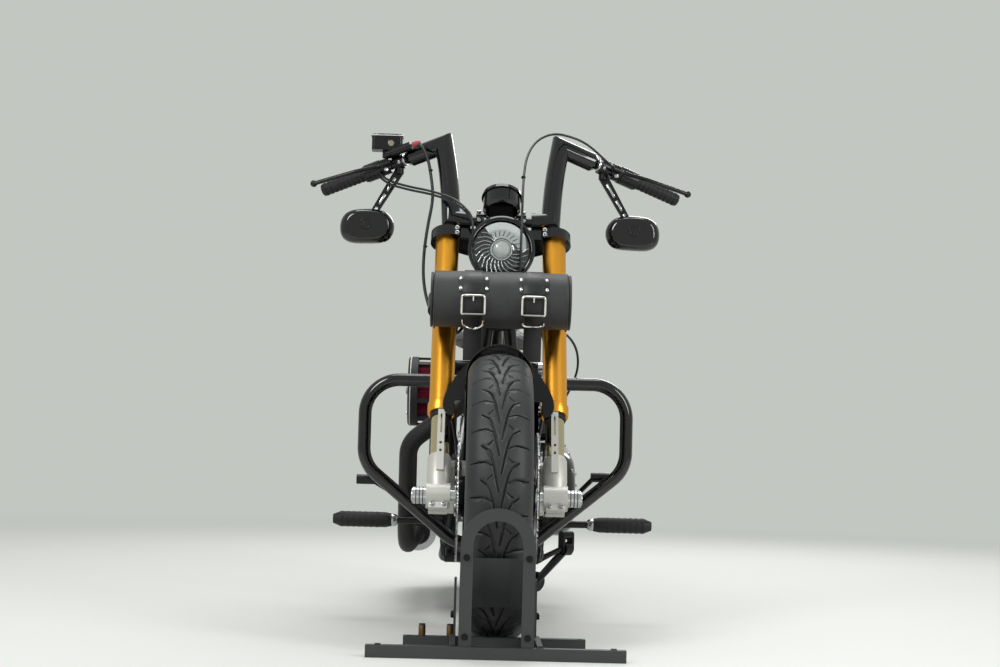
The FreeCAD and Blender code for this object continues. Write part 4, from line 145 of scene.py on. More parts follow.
def emboss(material, pattern, depth_mm, strength=1):
    """Raises the surface by a pattern, with its depth in millimetres."""
    bump = add_node(material, "ShaderNodeBump",
                    {"Distance": depth_mm / 1000, "Strength": strength}, {"Height": pattern})
    feed(material, bump.outputs["Normal"], "Normal")


def new_material(name, colour, rough=None, shades=None, relief=None, **values):
    """A material of one shader with its colour and plain values set.

    rough is a noise size in millimetres and two roughnesses, shades a noise size, its detail
    and two colours, relief a noise size, its detail, a depth in millimetres and a strength.
    """
    material = bpy.data.materials.new(name)
    material.use_nodes = True
    inputs = shader_of(material).inputs
    inputs["Base Color"].default_value = linear(colour)
    for socket, value in values.items():
        inputs[socket.replace("_", " ").title().replace("Ior", "IOR")].default_value = value
    if rough:
        roughen(material, object_noise(material, rough[0]), *rough[1:])
    if shades:
        blend_colours(material, object_noise(material, *shades[:2]), *shades[2:])
    if relief:
        emboss(material, object_noise(material, *relief[:2]), *relief[2:])
    return material


def combine(material, operation, first, second):
    """Output of one operation on two sources."""
    return add_node(material, "ShaderNodeMath", links={0: first, 1: second},
                    operation=operation).outputs["Value"]


# Far from the machine the paper shows one even grey to the camera, to metal and to glass, whatever
# the lamps do there. Close by it stays plain paper and keeps the shadow.
paper = new_material("pale_matt_paper", "#DCDDD9", roughness=0.7)
place = add_node(paper, "ShaderNodeTexCoord")
reach = add_node(paper, "ShaderNodeVectorMath", links={0: place.outputs["Object"]},
                 operation="LENGTH")
far = add_node(paper, "ShaderNodeMapRange", {"From Min": 2.6, "From Max": 6.5},
               {"Value": reach.outputs["Value"]}, interpolation_type="SMOOTHSTEP")
ray = add_node(paper, "ShaderNodeLightPath").outputs
seen = combine(paper, "MAXIMUM", ray["Is Camera Ray"], ray["Is Glossy Ray"])
seen = combine(paper, "MAXIMUM", seen, ray["Is Transmission Ray"])
share = combine(paper, "MULTIPLY", seen, far.outputs["Result"])
even_grey = add_node(paper, "ShaderNodeEmission", {"Color": linear("#C3C7C1")})
mixed = add_node(paper, "ShaderNodeMixShader", links={
    0: share, 1: shader_of(paper).outputs["BSDF"], 2: even_grey.outputs["Emission"]})
paper.node_tree.links.new(mixed.outputs["Shader"],
                          paper.node_tree.nodes["Material Output"].inputs["Surface"])
cove_radius = 12
cove_height = 7
bpy.ops.mesh.primitive_circle_add(vertices=96, radius=cove_radius, fill_type="NOTHING",
                                  location=(0, 0, cove_height))
studio = bpy.context.object
studio.name = "studio_cove"
bpy.ops.object.mode_set(mode="EDIT")
bpy.ops.mesh.select_all(action="SELECT")
for drop, radius in ((-4.6, 12), (-1.2, 11.8), (-0.75, 11.3), (-0.35, 10.5), (-0.1, 9.6)):
    bpy.ops.mesh.extrude_edges_move(TRANSFORM_OT_translate={"value": (0, 0, drop)})
    bpy.ops.transform.resize(value=(radius / cove_radius, radius / cove_radius, 1))
    cove_radius = radius
bpy.ops.mesh.edge_face_add()
bpy.ops.mesh.select_all(action="SELECT")
bpy.ops.mesh.normals_make_consistent(inside=True)
bpy.ops.object.mode_set(mode="OBJECT")
bpy.ops.object.transform_apply()
bpy.ops.object.shade_smooth_by_angle(angle=math.radians(40))
studio.data.materials.append(paper)
studio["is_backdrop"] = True

world = bpy.data.worlds.new("studio")
bpy.context.scene.world = world
world.use_nodes = True
sky = world.node_tree.nodes["Background"]
sky.inputs["Color"].default_value = linear("#EEF0F0")
sky.inputs["Strength"].default_value = 0.62

for name, place, aimed_at, size, power in (
        ("key", (-2.4, -3.6, 3.4), (0, -0.4, 0.5), (1.2, 2.4), 95),
        ("fill", (3, -3, 2.2), (0, -0.4, 0.6), (0.8, 2.6), 60),
        ("top", (0, 0.5, 4), (0, 0.3, 0), (2.4, 2.6), 62),
        ("back", (1.4, 4.2, 3), (0, 0.6, 0.5), (2.4, 1.6), 60)):
    bpy.ops.object.light_add(type="AREA", location=place)
    lamp = bpy.context.object
    lamp.name = "studio_" + name
    lamp.data.shape = "ELLIPSE"
    lamp.data.size, lamp.data.size_y = size
    lamp.data.energy = power
    lamp.rotation_euler = (Vector(aimed_at) - Vector(place)).to_track_quat("-Z", "Y").to_euler()


# Powder coat: frame, clamps and trim are steel or cast parts in satin black powder, which leaves a
# fine orange peel that breaks up its reflections.
merge_distance = 0.00001


def paint(material, *names, crease_angle=30):
    """Gives CAD nodes their finished material, and smooth shading that keeps their sharp edges."""
    for name in names:
        node = nodes[name]
        node.data.materials.clear()
        node.data.materials.append(material)
        node.data.polygons.foreach_set("use_smooth", [True] * len(node.data.polygons))
        node.modifiers.new("joined", "WELD").merge_threshold = merge_distance
        node.modifiers.new("sharp_edges", "EDGE_SPLIT").split_angle = math.radians(crease_angle)


def powder_coat(name, colour, low, high, peel_mm=2.2):
    """Sprayed and baked powder on steel or castings."""
    return new_material(name, colour, (60, low, high), relief=(peel_mm, 4, 0.12, 0.5),
                        ior=1.42)


satin_black = powder_coat("satin_black_powder_coat", "#0B0C0D", 0.26, 0.34)
paint(satin_black, "frame", "swingarm", "foot_controls", "bottom_clamp", "side_stand",
      "clutch_controls", "brake_controls", "levers", "headlight_shell", "rear_pulley",
      "regulator", "fender_plates", "mirror_arms")

# Chock steel: bar and folded plate in a flat charcoal powder, greyer and duller than the frame.
paint(powder_coat("charcoal_powder_coat", "#3A3D3D", 0.38, 0.5, 3), "wheel_chock",
      crease_angle=8)

# Cast wheels: aluminium in gloss black powder.
paint(powder_coat("gloss_black_wheel_powder", "#0B0C0E", 0.2, 0.28, 5), "front_rim",
      "rear_rim")


# Gloss paint: tank, fenders, handlebar and covers are black lacquer under a clear coat, deep and
# mirror smooth, with a wide soft ripple.
gloss_black = new_material("gloss_black_lacquer", "#060708", (90, 0.1, 0.18),
                           relief=(35, 1, 0.05, 0.3), ior=1.4, coat_weight=0.6,
                           coat_roughness=0.05)
paint(gloss_black, "engine_guard", "mirror_shells", "speedometer", "fuel_tank",
      "front_fender", "rear_fender", "handlebar", "primary_cover",
      "side_covers", "top_clamp", "fork_caps", "bar_risers", "headlight_bezel", "tail_lamps",
      "tank_cap")


# Engine black: crankcase, barrels, heads and rocker boxes are aluminium castings in wrinkle
# paint, dull with a fine raised grain.
paint(new_material("wrinkle_black_casting", "#15161A", (40, 0.48, 0.62),
                   relief=(1.2, 6, 0.25, 0.8), ior=1.48),
      "crankcase", "cylinders", "rocker_covers", "air_cleaner")


# Turned metal: gold anodised aluminium fork tubes and bright steel axle ends, both with fine rings
# left by the lathe. The tubes' rings lie square to the raked fork.
def turned_rings(material, millimetres, axis, depth_mm, tilt=0):
    """Fine rings round an axis of the piece, as a lathe's tool leaves them."""
    place = add_node(material, "ShaderNodeTexCoord")
    turn = add_node(material, "ShaderNodeMapping", {"Rotation": (tilt, 0, 0)},
                    {"Vector": place.outputs["Object"]})
    split = add_node(material, "ShaderNodeSeparateXYZ", links={0: turn.outputs["Vector"]})
    along = add_node(material, "ShaderNodeTexNoise",
                     {"Scale": 1000 / millimetres, "Detail": 2},
                     {"W": split.outputs[axis]}, noise_dimensions="1D")
    emboss(material, along.outputs["Fac"], depth_mm, 0.5)
    return along.outputs["Fac"]


rake = math.radians(30)
gold = new_material("gold_anodised_aluminium", "#F6AE3C", shades=(90, 1, "#F3A836", "#F8B443"),
                    metallic=1)
roughen(gold, turned_rings(gold, 5, "Z", 0.02, rake), 0.27, 0.36)
paint(gold, "fork_tubes")
turned_steel = new_material("turned_steel", "#C9CACB", metallic=1)
roughen(turned_steel, turned_rings(turned_steel, 0.9, "X", 0.03), 0.18, 0.3)
paint(turned_steel, "front_axle")

# Other metal: ground stanchions with a hard champagne coating, nearly a mirror; blasted and clear
# anodised lower fork castings and calipers; chrome plated pushrod tubes and shock springs; ground
# stainless steel discs; an exhaust in black ceramic coat.
paint(new_material("champagne_hard_coat", "#CBBE9A", (25, 0.1, 0.16), metallic=1),
      "fork_stanchions")
cast_silver = new_material("blasted_aluminium_casting", "#D2D1CA", (30, 0.4, 0.52),
                           relief=(1, 5, 0.12, 0.5), metallic=0.55)
paint(cast_silver, "fork_bottoms", "front_calipers")
chrome = new_material("chrome_plate", "#DDDEE0", (40, 0.05, 0.09), metallic=1)
paint(chrome, "bag_buckles", "pushrod_tubes", "shocks")
disc_steel = new_material("ground_stainless_steel", "#B9B9BA", (20, 0.24, 0.34), metallic=1)
paint(disc_steel, "front_discs", "rear_disc")
paint(new_material("ceramic_black_coat", "#141414", (50, 0.4, 0.55), ior=1.5), "exhaust")

# Rubber: tyres are vulcanised, dark grey and matt, a little dusty. Grips, pegs, belt and hoses are
# soft and moulded.
tyre_rubber = new_material("tyre_rubber", "#212224", (25, 0.44, 0.58),
                           (70, 4, "#1D1E20", "#28292A"), (0.8, 5, 0.08, 0.5), ior=1.5)
paint(tyre_rubber, "front_tyre", "rear_tyre")
soft_rubber = new_material("moulded_rubber", "#131314", (12, 0.5, 0.65), ior=1.45)
paint(soft_rubber, "grips", "footpegs", "drive_belt", "control_lines", "clutch_cable")


# Leather: full grain cowhide, dyed black and waxed. Its pebbles are about 1.5 mm across, drawn at
# 2.6 mm so that they show in relief, and its colour wanders between a dark and a paler shade in
# broad patches.
def cowhide(name, dark, pale, low, high):
    material = new_material(name, dark, (22, low, high), sheen_weight=0.12,
                            sheen_roughness=0.4, ior=1.46)
    place = add_node(material, "ShaderNodeTexCoord")
    pebble = add_node(material, "ShaderNodeTexVoronoi", {"Scale": 1000 / 2.6},
                      {"Vector": place.outputs["Object"]}, feature="DISTANCE_TO_EDGE")
    rounded = add_node(material, "ShaderNodeMapRange", {"From Max": 0.3},
                       {"Value": pebble.outputs["Distance"]}, interpolation_type="SMOOTHSTEP")
    emboss(material, rounded.outputs["Result"], 0.22, 0.6)
    wear = add_node(material, "ShaderNodeMath", {1: 1.6},
                    {0: object_noise(material, 55, 5)}, operation="POWER")
    blend_colours(material, wear.outputs["Value"], dark, pale)
    return material


leather = cowhide("black_cowhide", "#28292A", "#3E3F3F", 0.42, 0.58)
paint(leather, "tool_roll", "bag_straps", "seat")

# Headlight glass, light unit, mirror glass and the filter's oiled gauze.
paint(new_material("lens_glass", "#F4F8FA", relief=(45, 1, 0.04, 0.3), roughness=0.02,
                   transmission_weight=1, ior=1.49), "headlight_lens")
paint(new_material("light_unit_plastic", "#3A3C3F", (6, 0.24, 0.36), metallic=0.6),
      "headlight_unit")
paint(new_material("silvered_glass", "#E4E8EA", (50, 0.015, 0.035), metallic=1),
      "mirror_glasses")
filter_gauze = new_material("oiled_red_gauze", "#7A1C34", (4, 0.5, 0.66),
                            (2, 4, "#641528", "#8E2540"))
paint(filter_gauze, "air_filter")


# Brake hoses and cables: rubber-covered hoses of 8 mm and sleeved cables of 6 mm, held only at
# their ends. The front brake hose drops from the lever to the lower clamp and on to both
# calipers; the clutch cable arches over the bar and in front of the lamp.
fork_line = Vector((0, math.sin(rake), math.cos(rake)))
fork_back = Vector((0, math.cos(rake), -math.sin(rake)))


def on_bike(points):
    """Places given as reach, distance behind the front axle and height, in millimetres."""
    return [Vector((x, back + front_axle.y * 1000, height)) / 1000
            for x, back, height in points]


def on_fork(points):
    """Places given as reach, distance behind the fork's middle and along it, in millimetres."""
    return [front_axle + Vector((x / 1000, 0, 0)) + fork_back * (behind / 1000)
            + fork_line * (along / 1000) for x, behind, along in points]


def object_mode():
    if bpy.context.mode != "OBJECT":
        bpy.ops.object.mode_set(mode="OBJECT")


def select_only(piece):
    """Selects one piece alone and makes it the active one."""
    object_mode()
    bpy.ops.object.select_all(action="DESELECT")
    piece.select_set(True)
    bpy.context.view_layer.objects.active = piece


def new_piece(name, data):
    """Adds a mesh or curve as a piece, selected alone."""
    piece = bpy.data.objects.new(name, data)
    bpy.context.scene.collection.objects.link(piece)
    select_only(piece)
    return piece


def smooth_line(name, points, radius, steps, roundness, closed=False):
    """Round wire, bar or hose along one smooth line, still a curve."""
    curve = bpy.data.curves.new(name, "CURVE")
    curve.dimensions = "3D"
    spline = curve.splines.new("NURBS")
    spline.points.add(len(points) - 1)
    for place, point in zip(spline.points, points):
        place.co = (*point, 1)
    spline.order_u = 3
    spline.use_cyclic_u = closed
    spline.use_endpoint_u = not closed
    spline.resolution_u = steps
    curve.bevel_depth = radius
    curve.bevel_resolution = roundness
    curve.use_fill_caps = not closed
    return new_piece(name, curve)


def cable(name, body, node, points, diameter, material):
    """A hose or cable along one smooth spline, with both ends in the pieces that it serves."""
    piece = smooth_line(name, points, diameter / 2, 10, 3)
    piece.data.materials.append(material)
    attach(piece, body)
    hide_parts(node)


hose_rubber = new_material("hose_rubber", "#17181A", (10, 0.38, 0.5),
                           relief=(1.5, 4, 0.05, 0.4), ior=1.48)
cable_sleeve = new_material("cable_sleeve", "#1D1E20", (8, 0.3, 0.42), ior=1.48)

master_hose_route = ((-231, 493.5, 1192), (-210, 485.8, 1199.3), (-188, 468, 1160),
                     (-177, 452, 1105), (-170, 438, 1050), (-182, 414, 978),
                     (-189, 384, 905), (-188, 352, 838), (-176, 326, 780),
                     (-150, 304, 722), (-112, 277, 698), (-84, 254, 712),
                     (-80, 258, 747))
caliper_hose_route = ((98, 16, 499.7), (100, 16, 470), (112, 40, 430),
                      (122, 62, 380), (118, 70, 310), (106, 76, 250),
                      (94, 92, 190), (88, 106, 146))
throttle_route = ((-322, 556, 1130), (-300, 514, 1098), (-236, 462, 1074),
                  (-170, 402, 1055), (-110, 362, 1030), (-70, 322, 986),
                  (-70, 314, 950), (-64, 328, 918), (-50, 333, 905),
                  (-38.1, 313.7, 898))
throttle_spacing = 8
clutch_route = ((292, 512, 1148), (254, 498, 1178), (216, 488, 1208),
                (176, 474, 1222), (128, 446, 1226), (84, 404, 1200),
                (58, 350, 1150), (50, 288, 1086), (47, 218, 1010),
                (46, 203, 930), (45, 206, 850), (44, 216, 802),
                (44, 222, 752))
clutch_lower_route = ((38, 391.5, 742), (84, 398, 750), (142, 414, 738),
                      (192, 430, 700), (206, 450, 646), (192, 480, 592),
                      (160, 520, 534), (140, 560, 486), (131, 590, 440),
                      (130, 622, 412), (130, 650.8, 388))
cable("brake_hose_upper", "front_end", "control_lines", on_bike(master_hose_route), 0.008,
      hose_rubber)
for side, side_name in ((1, "left"), (-1, "right")):
    route = [(side * x, behind, along) for x, behind, along in caliper_hose_route]
    cable("caliper_hose_" + side_name, "front_end", "control_lines", on_fork(route), 0.008,
          hose_rubber)
for turn, turn_name in enumerate(("pull", "return")):
    route = [(x, back, height + turn * throttle_spacing) for x, back, height in throttle_route]
    cable("throttle_cable_" + turn_name, "front_end", "control_lines", on_bike(route), 0.006,
          cable_sleeve)
cable("clutch_cable_upper", "front_end", "control_lines", on_bike(clutch_route), 0.006,
      cable_sleeve)
cable("clutch_cable_lower", "chassis", "clutch_cable", on_bike(clutch_lower_route), 0.006,
      cable_sleeve)


# Tyres: black rubber moulded over a carcass, with grooves cut 5 mm deep. A long groove runs from
# the middle line out towards the shoulder, with a branch and a short sipe; the two halves of the
# tread are mirrored and lie half a pitch apart.
def edit_all(operation, **values):
    """Runs one edit on the whole active piece."""
    bpy.ops.object.mode_set(mode="EDIT")
    bpy.ops.mesh.select_all(action="SELECT")
    operation(**values)
    bpy.ops.object.mode_set(mode="OBJECT")


def built_piece(name, verts, faces):
    """A piece from its corner points and faces."""
    mesh = bpy.data.meshes.new(name)
    mesh.from_pydata([tuple(vert) for vert in verts], [], faces)
    return new_piece(name, mesh)


def shape_by(piece, kind, **settings):
    """Works on a piece with one modifier and applies it."""
    select_only(piece)
    modifier = piece.modifiers.new(kind, kind)
    for name, value in settings.items():
        setattr(modifier, name, value)
    bpy.ops.object.modifier_apply(modifier=kind)


def cut_away(piece, cutter):
    """Cuts one mesh out of another and removes the cutter."""
    shape_by(piece, "BOOLEAN", operation="DIFFERENCE", solver="EXACT", use_self=True,
             object=cutter)
    bpy.data.objects.remove(cutter)


def finish_piece(piece, body, material, place=None, smooth=32, replaced=()):
    """Puts a piece in its place, gives it its finish and body, and hides the CAD nodes it replaces.
    """
    select_only(piece)
    if place is not None:
        piece.matrix_world = place @ piece.matrix_world
    bpy.ops.object.transform_apply()
    edit_all(bpy.ops.mesh.normals_make_consistent)
    bpy.ops.object.shade_smooth_by_angle(angle=math.radians(smooth))
    piece.data.materials.clear()
    piece.data.materials.append(material)
    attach(piece, body)
    for node in replaced:
        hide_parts(node)


def node_copy(name, node):
    """A merged copy of a CAD node's mesh, to be worked on as a piece of its own."""
    piece = new_piece(name, nodes[node].data.copy())
    edit_all(bpy.ops.mesh.remove_doubles, threshold=merge_distance)
    return piece


def run_at(route, index):
    """Unit direction of a flat route at one of its points."""
    before = route[max(index - 1, 0)]
    after = route[min(index + 1, len(route) - 1)]
    return Vector((after[0] - before[0], after[1] - before[1])).normalized()


def strip_faces(first, stations):
    """Faces of a closed strip of four corners at each station, from its first corner's number."""
    faces = []
    for low in range(first, first + 4 * (stations - 1), 4):
        for corner in range(4):
            following = (corner + 1) % 4
            faces.append((low + corner, low + following, low + 4 + following, low + 4 + corner))
    last = first + 4 * (stations - 1)
    return faces + [(first + 3, first + 2, first + 1, first), (last, last + 1, last + 2, last + 3)]


tread_count = 27
groove_depth = 0.005
groove_lift = 0.006
# Each groove: width in millimetres, then its points as distance round the tyre and reach from
# the middle line, in millimetres.
tread_grooves = ((5.6, ((-56, 2.5), (-25, 8.5), (2, 14), (20, 19), (33, 26),
                        (44, 41))),
                 (5, ((-1, 15.5), (7, 33), (5, 61))),
                 (4.2, ((-20, 16), (-31, 27))))


def tread_cutter(name, axle, radius_at, turning):
    """All the grooves of one tyre, as closed channels that stand out of its surface."""
    verts = []
    faces = []
    pitch = 2 * math.pi / tread_count
    for motif in range(tread_count * 2):
        side = 1 if motif % 2 else -1
        start = motif * pitch / 2
        for width, route in tread_grooves:
            faces += strip_faces(len(verts), len(route))
            for index, (along, reach) in enumerate(route):
                run = run_at(route, index)
                thin = 0.55 if index in (0, len(route) - 1) else 1
                for across, lift in ((-0.5, groove_lift), (0.5, groove_lift),
                                     (0.36, -groove_depth), (-0.36, -groove_depth)):
                    offset = across * width * thin
                    place_along = (along - run.y * offset) * turning
                    place_reach = (reach + run.x * offset) / 1000
                    radius = radius_at(place_reach) + lift
                    angle = start + place_along / 1000 / radius_at(0)
                    verts.append(axle + Vector((side * place_reach, -math.cos(angle) * radius,
                                                math.sin(angle) * radius)))
    cutter = built_piece(name, verts, faces)
    edit_all(bpy.ops.mesh.normals_make_consistent)
    return cutter


def treaded_tyre(name, node, body, axle, turning):
    """A tyre with its grooves cut to follow its own outline."""
    tyre = node_copy(name, node)
    outline = {}
    for vert in tyre.data.vertices:
        reach = round(abs(vert.co.x), 4)
        radius = math.hypot(vert.co.y - axle.y, vert.co.z - axle.z)
        if radius > axle.z * 0.85:
            outline[reach] = max(outline.get(reach, 0), radius)
    points = sorted(outline.items())

    def radius_at(reach):
        reach = abs(reach)
        for (low, low_radius), (high, high_radius) in zip(points, points[1:]):
            if low <= reach <= high:
                share = (reach - low) / (high - low)
                return low_radius + (high_radius - low_radius) * share
        return points[0][1]

    cut_away(tyre, tread_cutter(name + "_grooves", axle, radius_at, turning))
    finish_piece(tyre, body, tyre_rubber, smooth=28, replaced=(node,))


treaded_tyre("front_tyre_tread", "front_tyre", "front_wheel", front_axle, 1)
treaded_tyre("rear_tyre_tread", "rear_tyre", "rear_wheel", rear_axle, -1)


# Tool roll: a drum of black cowhide sewn round two stiff end discs, with a flap that comes over
# the top. Two straps wrap it. Each runs under a riveted keeper into a bent wire buckle, and its
# tail hangs below.
def start_piece(name, add, **values):
    """Adds a primitive as a new piece, in edit mode with nothing selected."""
    object_mode()
    bpy.ops.object.select_all(action="DESELECT")
    add(**values)
    piece = bpy.context.object
    piece.name = piece.data.name = name
    bpy.ops.object.mode_set(mode="EDIT")
    bpy.ops.mesh.select_all(action="DESELECT")
    return piece


def pick(piece, kind, test):
    """Selects the faces or edges that pass the test."""
    bpy.ops.mesh.select_mode(type=kind)
    mesh = bmesh.from_edit_mesh(piece.data)
    for part in mesh.faces if kind == "FACE" else mesh.edges:
        part.select_set(test(part))
    mesh.select_flush_mode()
    bmesh.update_edit_mesh(piece.data)


def pick_top(piece, least=0.9):
    """Selects the faces that look up the piece's Z axis."""
    pick(piece, "FACE", lambda face: face.normal.z > least)


def bevel(width, segments=2):
    bpy.ops.mesh.bevel(offset=width, segments=segments, affect="EDGES")


def join_pieces(name, pieces):
    """Joins pieces into one."""
    object_mode()
    bpy.context.view_layer.update()
    select_only(pieces[0])
    for piece in pieces:
        piece.select_set(True)
    if len(pieces) > 1:
        bpy.ops.object.join()
    pieces[0].name = pieces[0].data.name = name
    return pieces[0]


def aimed(point, direction, upward=(0, 0, 1)):
    """Stands a piece's Z axis along a direction at a point, with its Y axis kept upright."""
    along = Vector(direction).normalized()
    sideways = Vector(upward).cross(along)
    if sideways.length < 0.001:
        sideways = Vector((0, 1, 0)).cross(along)
    sideways.normalize()
    turn = Matrix((sideways, along.cross(sideways), along)).transposed()
    return Matrix.Translation(point) @ turn.to_4x4()


def outward(point, side):
    """A place at a point from which a piece looks out to one side of the machine."""
    return aimed(point, (side, 0, 0))


def placed_copies(name, template, places):
    """Copies of one modelled piece at each place, joined, in place of the model."""
    object_mode()
    bpy.context.view_layer.update()
    copies = []
    for place in places:
        copy = bpy.data.objects.new(name, template.data.copy())
        bpy.context.scene.collection.objects.link(copy)
        copy.matrix_world = place @ template.matrix_world
        copies.append(copy)
    bpy.data.objects.remove(template)
    return join_pieces(name, copies)


def turned_piece(name, steps, vertices=32):
    """A closed turned form: a disc extruded up Z and scaled, step by step of height and radius,
    both in millimetres."""
    height, radius = steps[0]
    piece = start_piece(name, bpy.ops.mesh.primitive_circle_add, vertices=vertices,
                        radius=radius / 1000, fill_type="NGON")
    bpy.ops.mesh.select_all(action="SELECT")
    bpy.ops.transform.translate(value=(0, 0, height / 1000))
    for next_height, next_radius in steps[1:]:
        rise = (next_height - height) / 1000
        bpy.ops.mesh.extrude_region_move(TRANSFORM_OT_translate={"value": (0, 0, rise)})
        share = next_radius / radius
        bpy.ops.transform.resize(value=(share, share, 1))
        height, radius = next_height, next_radius
    bpy.ops.object.mode_set(mode="OBJECT")
    return piece


def bent_wire(name, points, radius, closed=False):
    """Round wire or bar bent along a smooth line."""
    smooth_line(name, points, radius, 6, 2, closed)
    bpy.ops.object.convert(target="MESH")
    return bpy.context.object


def around(axis, radius, degrees):
    """Offset from an axis at an angle round it."""
    turn = math.radians(degrees)
    offset = [math.cos(turn) * radius, math.sin(turn) * radius]
    offset.insert("xyz".index(axis), 0)
    return Vector(offset)


def wire_ring(name, middle, axis, radius, wire, step=15):
    """A closed ring of wire round an axis, bent through a point at every step of degrees."""
    points = [Vector(middle) + around(axis, radius, degrees) for degrees in range(0, 360, step)]
    return bent_wire(name, points, wire, True)


def rounded_corners(half_wide, half_tall, corner):
    """Points of a rectangle, three to each corner, so that a smooth line keeps its sides."""
    points = []
    for side, rise in ((-1, -1), (1, -1), (1, 1), (-1, 1)):
        x, y = side * half_wide, rise * half_tall
        near = (x - side * corner, y)
        far = (x, y - rise * corner)
        first, last = (near, far) if side * rise < 0 else (far, near)
        points += [(*first, 0), (x, y, 0), (*last, 0)]
    return points


def strap_strip(name, path, width, thickness, middle_x):
    """A flat strap with softened edges that follows points of its side view, as y and z."""
    verts = []
    for index, (y, z) in enumerate(path):
        run = run_at(path, index)
        for side, out in ((-0.5, -0.5), (0.5, -0.5), (0.5, 0.5), (-0.5, 0.5)):
            verts.append((middle_x + side * width, y - run.y * out * thickness,
                          z + run.x * out * thickness))
    piece = built_piece(name, verts, strip_faces(0, len(path)))
    shape_by(piece, "BEVEL", width=thickness * 0.28, segments=2, limit_method="ANGLE",
             angle_limit=math.radians(50))
    return piece


def thick_sheet(name, lines, thickness):
    """A sheet through lines of points, as thick as given."""
    wide = len(lines[0])
    faces = [(row * wide + column, row * wide + column + 1, (row + 1) * wide + column + 1,
              (row + 1) * wide + column) for row in range(len(lines) - 1)
             for column in range(wide - 1)]
    piece = built_piece(name, [point for line in lines for point in line], faces)
    shape_by(piece, "SOLIDIFY", thickness=thickness, offset=0)
    return piece


def puffed(piece, voxel, cap):
    """Fills a sewn shape: even mesh, cloth with air pressure, no point moved past the cap."""
    select_only(piece)
    bpy.ops.object.transform_apply()
    shape_by(piece, "REMESH", mode="VOXEL", voxel_size=voxel)
    start = [vert.co.copy() for vert in piece.data.vertices]
    cloth = piece.modifiers.new("cloth", "CLOTH")
    cloth.settings.use_pressure = True
    cloth.settings.uniform_pressure_force = 4
    cloth.settings.effector_weights.gravity = 0
    for moment in range(1, 21):
        bpy.context.scene.frame_set(moment)
    bpy.ops.object.modifier_apply(modifier="cloth")
    for vert, place in zip(piece.data.vertices, start):
        move = vert.co - place
        if move.length > cap:
            vert.co = place + move * (cap / move.length)
    bpy.context.scene.frame_set(1)
    shape_by(piece, "SUBSURF", levels=1, render_levels=1)


roll_low, roll_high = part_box("tool_roll")
roll_middle = middle_of("tool_roll")
roll_half = (roll_high.x - roll_low.x) / 2
roll_radius = (roll_high.z - roll_low.z) / 2


def on_drum(x, lowered, lift):
    """Place over the drum's front, by its reach and how many degrees it lies below the middle."""
    turn = math.radians(lowered)
    out = Vector((0, -math.cos(turn), -math.sin(turn)))
    rise = Vector((0, -math.sin(turn), math.cos(turn)))
    facing = Matrix((Vector((1, 0, 0)), rise, out)).transposed().to_4x4()
    middle = Vector((x, roll_middle.y, roll_middle.z))
    return Matrix.Translation(middle + out * (roll_radius + lift)) @ facing


def drum_arc(lift, start, end, steps):
    """Side view of an arc over the drum, from one lowered angle to another."""
    radius = roll_radius + lift
    turns = [math.radians(start + (end - start) * step / steps) for step in range(steps + 1)]
    return [(roll_middle.y - math.cos(turn) * radius, roll_middle.z - math.sin(turn) * radius)
            for turn in turns]


drum = start_piece("tool_roll_drum", bpy.ops.mesh.primitive_cylinder_add, vertices=64,
                   radius=roll_radius - 0.0045, depth=roll_half * 2 - 0.012,
                   location=roll_middle, rotation=(0, math.pi / 2, 0))
pick(drum, "FACE", lambda face: abs(face.normal.z) > 0.9)
bevel(0.007, 3)
puffed(drum, 0.005, 0.004)
finish_piece(drum, "front_end", leather, smooth=60, replaced=("tool_roll",))

flap_columns = 40
flap_rows = 72
flap_lines = []
for row in range(flap_rows + 1):
    turn = math.radians(-165 + 238 * row / flap_rows)
    line = []
    for column in range(flap_columns + 1):
        across = -1 + 2 * column / flap_columns
        reach = across * (roll_half - 0.011)
        ripple = noise.noise(Vector((reach * 16, turn * 1.4, 2))) * 0.0011
        pull = 0.0012 * (1 - abs(across) ** 6)
        radius = roll_radius + 0.0004 + ripple * (1 - abs(across) ** 4) + pull * 0.4
        line.append((reach, roll_middle.y - math.cos(turn) * radius,
                     roll_middle.z - math.sin(turn) * radius))
    flap_lines.append(line)
finish_piece(thick_sheet("tool_roll_flap", flap_lines, 0.0024), "front_end", leather,
             smooth=50, replaced=("tool_roll",))

welts = []
for side in sides:
    disc = turned_piece("roll_end", ((0, 60), (1.2, 63.8), (5.2, 64.6), (6.6, 63),
                                     (6.6, 58.5), (5.4, 57), (5.4, 2)), 64)
    disc.matrix_world = outward(roll_middle + Vector((side * (roll_half - 0.0072), 0, 0)),
                                side)
    welts.append(disc)
    welts.append(wire_ring("roll_piping",
                           roll_middle + Vector((side * (roll_half - 0.01), 0, 0)), "x",
                           0.0668, 0.0022))
finish_piece(join_pieces("tool_roll_ends", welts), "front_end", leather, smooth=40,
             replaced=("tool_roll",))

# Strap leather: split, shinier, and darker all over as partly painted shade for its dark edges.
strap_leather = cowhide("shade_darkened_strap_leather", "#141516", "#242525", 0.28, 0.42)
nickel = new_material("bright_nickel_plate", "#E4E2DC", (12, 0.1, 0.2), metallic=1)
strap_tail = [(roll_middle.y + y / 1000, roll_middle.z + z / 1000)
              for y, z in ((-36, -66.5), (-29, -80), (-22.5, -98), (-18, -118),
                           (-16, -141))]
